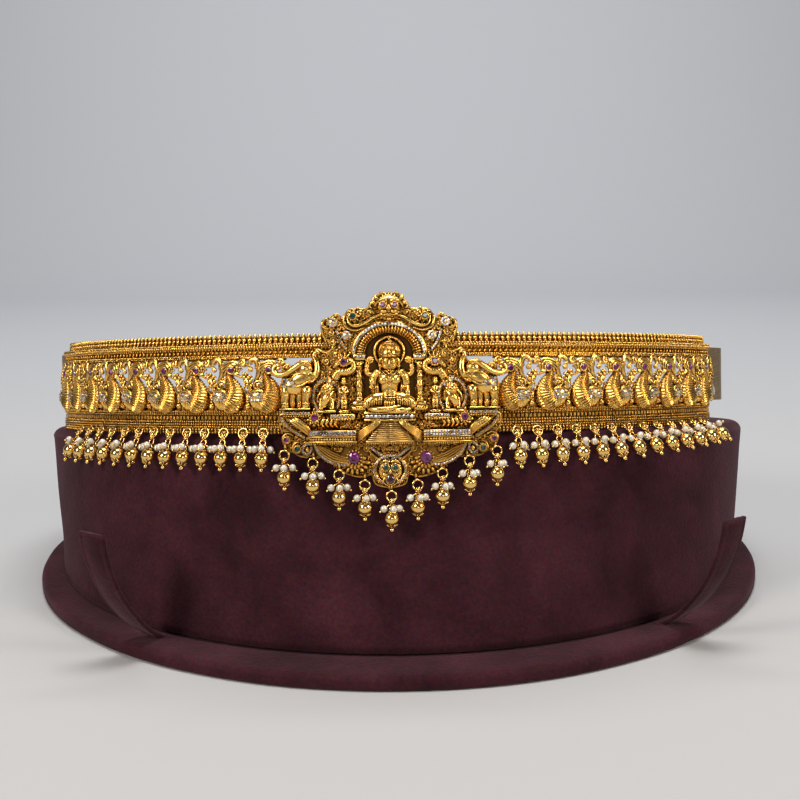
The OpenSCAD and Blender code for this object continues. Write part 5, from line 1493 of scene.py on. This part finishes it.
def elephant():
    form = Jewel()
    # Body, head, the great scroll that rises behind it, and the raised trunk.
    form.bar([(-26.6, -0.6, 2.5), (-28.4, -0.9, 2.7), (-30.4, -0.9, 2.8), (-32.0, -1.3, 2.6),
              (-33.0, -2.2, 2.4)], (2.7, 3.1, 3.15, 2.8, 1.7), 16, 0.8)
    form.ball((-25.6, 4.2, 3.3), (2.4, 2.5, 2.0), 18, 11)
    scroll = spline([(-24.6, 6.2, 4.2), (-26.8, 5.9, 4.6), (-29.4, 4.2, 4.5), (-31.9, 2.9, 4.1),
                     (-34.4, 2.7, 3.7), (-35.8, 4.1, 3.4), (-34.9, 5.5, 3.4), (-33.6, 4.7, 3.5)], 58)
    steps = np.arange(58)
    swelling = np.interp(steps, [0, 14, 40, 57], [0.9, 1.15, 1.0, 0.45])
    form.bar(scroll, np.where(steps % 2 == 0, 1.0, 0.84) * swelling, 10)
    form.ball((-34.2, 4.5, 3.9), (0.6, 0.6, 0.5), 8, 6)
    form.ball((-24.8, 1.7, 3.3), (2.1, 2.2, 1.8), 14, 8)
    trunk = spline([(-24.2, 2.6, 3.6), (-22.9, 1.9, 3.7), (-22.0, 3.8, 3.4), (-22.2, 6.4, 3.0),
                    (-23.0, 8.3, 2.8), (-22.4, 9.5, 2.8), (-21.4, 9.2, 2.8)], 46)
    form.bar(trunk, np.where(np.arange(46) % 2 == 0, 1.05, 0.9) * np.linspace(1.25, 0.5, 46), 10)
    form.strand([(-24.6, 1.2, 4.2), (-23.2, 0.4, 4.8), (-22.3, 1.2, 5.0)], 10, (0.32, 0.26, 0.12), 7)
    form.ball((-25.2, 4.6, 5.0), (0.36, 0.3, 0.3))
    form.strand([(-26.0, 5.4, 4.7), (-25.0, 5.4, 5.0), (-24.3, 4.8, 4.7)], 8, 0.16, 5)
    # Ear with its rolled edge, and the head cloth.
    form.ball((-26.9, 1.2, 4.7), (3.1, 1.75, 0.5), 18, 8, 0.3)
    form.strand([(-24.0, 1.2, 5.0), (-25.6, 3.0, 5.0), (-28.2, 2.6, 4.9), (-30.2, 0.6, 4.7),
                 (-28.6, -0.9, 4.9), (-26.2, -0.6, 5.1), (-23.9, 0.9, 5.1)], 26, (0.25, 0.34, 0.34, 0.25))
    form.pebbles(spline([(-26.6, 6.4, 3.9), (-25.0, 6.2, 4.5), (-23.9, 4.4, 4.6)], 14), 0.55, 0.28)
    form.petals((-26.6, 6.0), 0.3, 1.2, 6, 0.4, 2.4, wide=0.36, out=3.6, rise=0.5)
    # Jewelled saddle cloth, then the four legs with their anklets.
    for k in range(4):
        for j in range(3):
            u, v = -29.0 - 1.02 * k, 1.0 - 1.05 * j
            form.stone((u, v, 5.15 - 0.42 * (1 - j) * (j < 1) - 0.12 * k), 0.46)
            form.ball((u + 0.5, v + 0.5, 4.95 - 0.42 * (1 - j) * (j < 1) - 0.12 * k), 0.2, 5, 3)
    form.pebbles(spline([(-28.5, -2.1, 4.0), (-30.6, -2.5, 4.2), (-33.0, -2.3, 3.4)], 14), 0.55, 0.27)
    for u, w in ((-25.5, 3.7), (-27.6, 2.5), (-30.0, 2.5), (-32.0, 3.7)):
        form.bar([(u + 0.3, -1.4, w), (u + 0.2, -3.4, w), (u - 0.15, -5.2, w), (u, -6.6, w), (u, -7.4, w)],
                 (1.7, 1.35, 1.15, 1.1, 1.3), 12)
        form.ring((u, -6.3, w), 1.12, 0.2, axis=(0, 1, 0), count=14)
        form.ring((u + 0.15, -3.8, w), 1.28, 0.17, axis=(0, 1, 0), count=14)
        for k in (-1, 0, 1):
            form.ball((u + 0.45 * k, -7.6, w + 0.85), (0.26, 0.3, 0.22), 6, 4)
    form.strand([(-33.2, -0.2, 2.4), (-33.8, -1.6, 2.4), (-33.5, -3.8, 2.4)], 10, (0.35, 0.28, 0.4))
    form.block((-33.6, -8.3, 1.5), (-24.0, -7.8, 4.9))
    return form


def lion():
    form = Jewel()
    # Lion: body, head, mane, face and forelegs.
    form.ball((-19.2, -4.2, 1.9), (3.1, 3.6, 1.0), 14, 7)
    form.bar([(-17.8, -2.7, 2.9), (-19.3, -4.8, 3.2), (-20.4, -7.2, 3.0)], (1.25, 1.5, 1.3), 12, 0.9)
    form.ball((-18.9, -2.2, 3.5), (1.6, 1.7, 1.35), 16, 10)
    for a in full_turn(13):
        form.bar([(-18.9 + 1.3 * math.cos(a), -2.2 + 1.35 * math.sin(a), 3.9),
                  (-18.9 + 2.25 * math.cos(a + 0.25), -2.2 + 2.2 * math.sin(a + 0.25), 3.0)], (0.42, 0.24))
    for side in (-1, 1):
        form.ball((-18.7 + 0.55 * side, -1.9, 4.65), (0.28, 0.24, 0.22))
        form.ball((-18.7 + 0.42 * side, -2.75, 4.75), (0.45, 0.36, 0.35))
        form.strand([(-18.7 + 0.25 * side, -1.4, 4.75), (-18.7 + 0.75 * side, -1.35, 4.6)], 4, 0.15, 5)
        form.strand([(-19.3 + 1.5 * side, -5.0, 3.1), (-19.2 + 1.75 * side, -6.8, 3.4),
                     (-19.2 + 1.6 * side, -8.3, 3.9)], 10, (0.75, 0.6, 0.7), 10)
    form.bar([(-18.7, -1.6, 4.8), (-18.7, -2.4, 5.15)], (0.16, 0.28), 7)
    form.strand([(-20.9, -6.6, 2.6), (-22.1, -5.4, 2.8), (-21.6, -3.6, 2.8), (-20.9, -3.2, 2.8)], 14,
                (0.3, 0.34, 0.45), 7)
    form.pebbles(spline([(-20.2, -4.6, 3.8), (-19.2, -5.0, 4.5), (-18.0, -4.6, 4.0)], 12), 0.5, 0.26)
    form.block((-22.3, -9.2, 1.5), (-16.2, -8.6, 4.6))
    # Attendant with joined hands.
    form.bar([(-13.8, -8.3, 2.6), (-13.7, -5.0, 2.9), (-13.9, -3.2, 2.9), (-13.9, -1.6, 2.9),
              (-13.9, -0.9, 2.8)], (0.95, 0.8, 0.6, 0.95, 0.5), 12)
    form.ball((-13.9, 0.25, 3.1), (0.85, 1.0, 0.85), 12, 8)
    form.bar([(-13.9, 0.9, 2.9), (-13.9, 1.5, 2.8), (-13.9, 2.1, 2.6)], (0.85, 0.55, 0.2), 10)
    for side in (-1, 1):
        form.strand([(-13.9 + 0.8 * side, -1.4, 3.0), (-13.9 + 1.3 * side, -2.8, 3.4),
                     (-13.9 + 0.4 * side, -3.2, 3.9)], 10, (0.32, 0.3, 0.26), 7)
        form.bar([(-13.8 + 0.42 * side, -4.6, 3.4), (-13.8 + 0.5 * side, -8.4, 3.5)], (0.45, 0.42), 8)
    for k in range(4):
        form.ring((-13.8, -4.9 - 0.85 * k, 2.9), 0.95, 0.15, axis=(0, 1, 0), count=14)
    form.block((-15.2, -9.4, 1.5), (-12.3, -8.6, 4.6))
    return form


def arch_bird():
    form = Jewel()
    # Ribbed neck, head with its ruby and beak, crest, and the jewelled foot.
    neck = spline([(-16.6, 1.6, 2.4), (-15.2, 3.3, 2.9), (-12.4, 3.5, 3.0), (-10.9, 4.5, 3.0),
                   (-11.3, 6.2, 3.2), (-13.2, 6.6, 3.6)], 54)
    swelling = np.interp(np.linspace(0, 1, 54), [0, 0.35, 0.7, 1], [1.6, 1.45, 1.0, 1.2])
    form.bar(neck, np.where(np.arange(54) % 3 == 1, 1.07, 0.95) * swelling, 10)
    form.ball((-13.6, 6.4, 3.6), (1.85, 1.75, 1.3), 14, 8)
    form.bezel((-13.6, 6.4), 1.02, 4.95)
    form.strand([(-14.8, 6.1, 4.0), (-16.1, 5.6, 4.1), (-16.9, 4.5, 3.7)], 10, (0.75, 0.5, 0.18), 8)
    for k in range(4):
        a = math.radians(60 + 28 * k)
        form.bar([(-13.6 + 1.5 * math.cos(a), 6.4 + 1.5 * math.sin(a), 3.5),
                  (-13.6 + 2.9 * math.cos(a), 6.4 + 2.9 * math.sin(a), 3.0)], (0.25, 0.18))
        form.ball((-13.6 + 3.1 * math.cos(a), 6.4 + 3.1 * math.sin(a), 2.9), 0.34, 6, 4)
    form.ball((-17.6, 0.2, 1.9), (1.9, 1.7, 1.1), 12, 7)
    form.pave(spline([(-19.1, 1.2, 2.7), (-18.6, -0.4, 2.8), (-16.8, -0.9, 2.8)], 10), 0.85, 0.36, 0.42)
    return form


for side, word in both_sides:
    for maker, name in ((elephant, "elephant"), (lion, "lion"), (arch_bird, "arch_bird")):
        joined(f"{name}_{word}_cast", maker().parts(side > 0), "antique_gold", f"{name}_{word}")

# The coloured stones of the medallion: faceted rubies, dark emeralds and one dark garnet drop,
# each with a flat table, held in a smooth collet with claws.


def cut_stones(name, rows, finish, slot, node):
    """Stones given as along, up, out, radius and how much longer than wide, one on each side."""
    meshes, sides = [], 12
    levels = ((0.8, -0.5, 0), (1, 0, 0.5), (1, 0.1, 0.5), (0.83, 0.36, 0), (0.55, 0.52, 0.5))
    placed = [(row[0] * side, *row[1:]) for row in rows for side in ((-1, 1) if row[0] else (1,))]
    for u, v, out, r, long in placed:
        points = []
        for radius, rise, shift in levels:
            for j in range(sides):
                a = 2 * math.pi * (j + shift) / sides
                taper = 1 - 0.22 * (long > 1.2) * math.sin(a)
                points.append((u + r * radius * math.cos(a) * taper, v + r * long * radius * math.sin(a),
                               out + r * rise))
        stone = Casting()
        stone.add(points, stone_faces(sides))
        meshes.append(stone.mesh(finish=finish))
        shade(meshes[-1], False)
    joined(name, meshes, slot, node)


cut_stones("rubies_cut", [
    (1.75, 23.8, 5.15, 0.85, 1), (13.6, 6.4, 5.0, 1.05, 1), (22.9, -10.8, 3.3, 1.15, 1),
    (32, -17.8, 3.05, 0.9, 1), (10.9, -23.3, 3.4, 1.75, 1.15),
], ruby, "ruby", "medallion_rubies")
cut_stones("emeralds_cut", [
    (10.9, 20.5, 3.75, 0.95, 1), (28.6, -20.7, 3.05, 0.95, 1), (1.45, -26.3, 4.2, 1.0, 1),
], emerald, "emerald", "emeralds")
cut_stones("garnet_cut", [(0, -29.9, 3.4, 1.25, 1.3)], garnet, "garnet", "garnets")
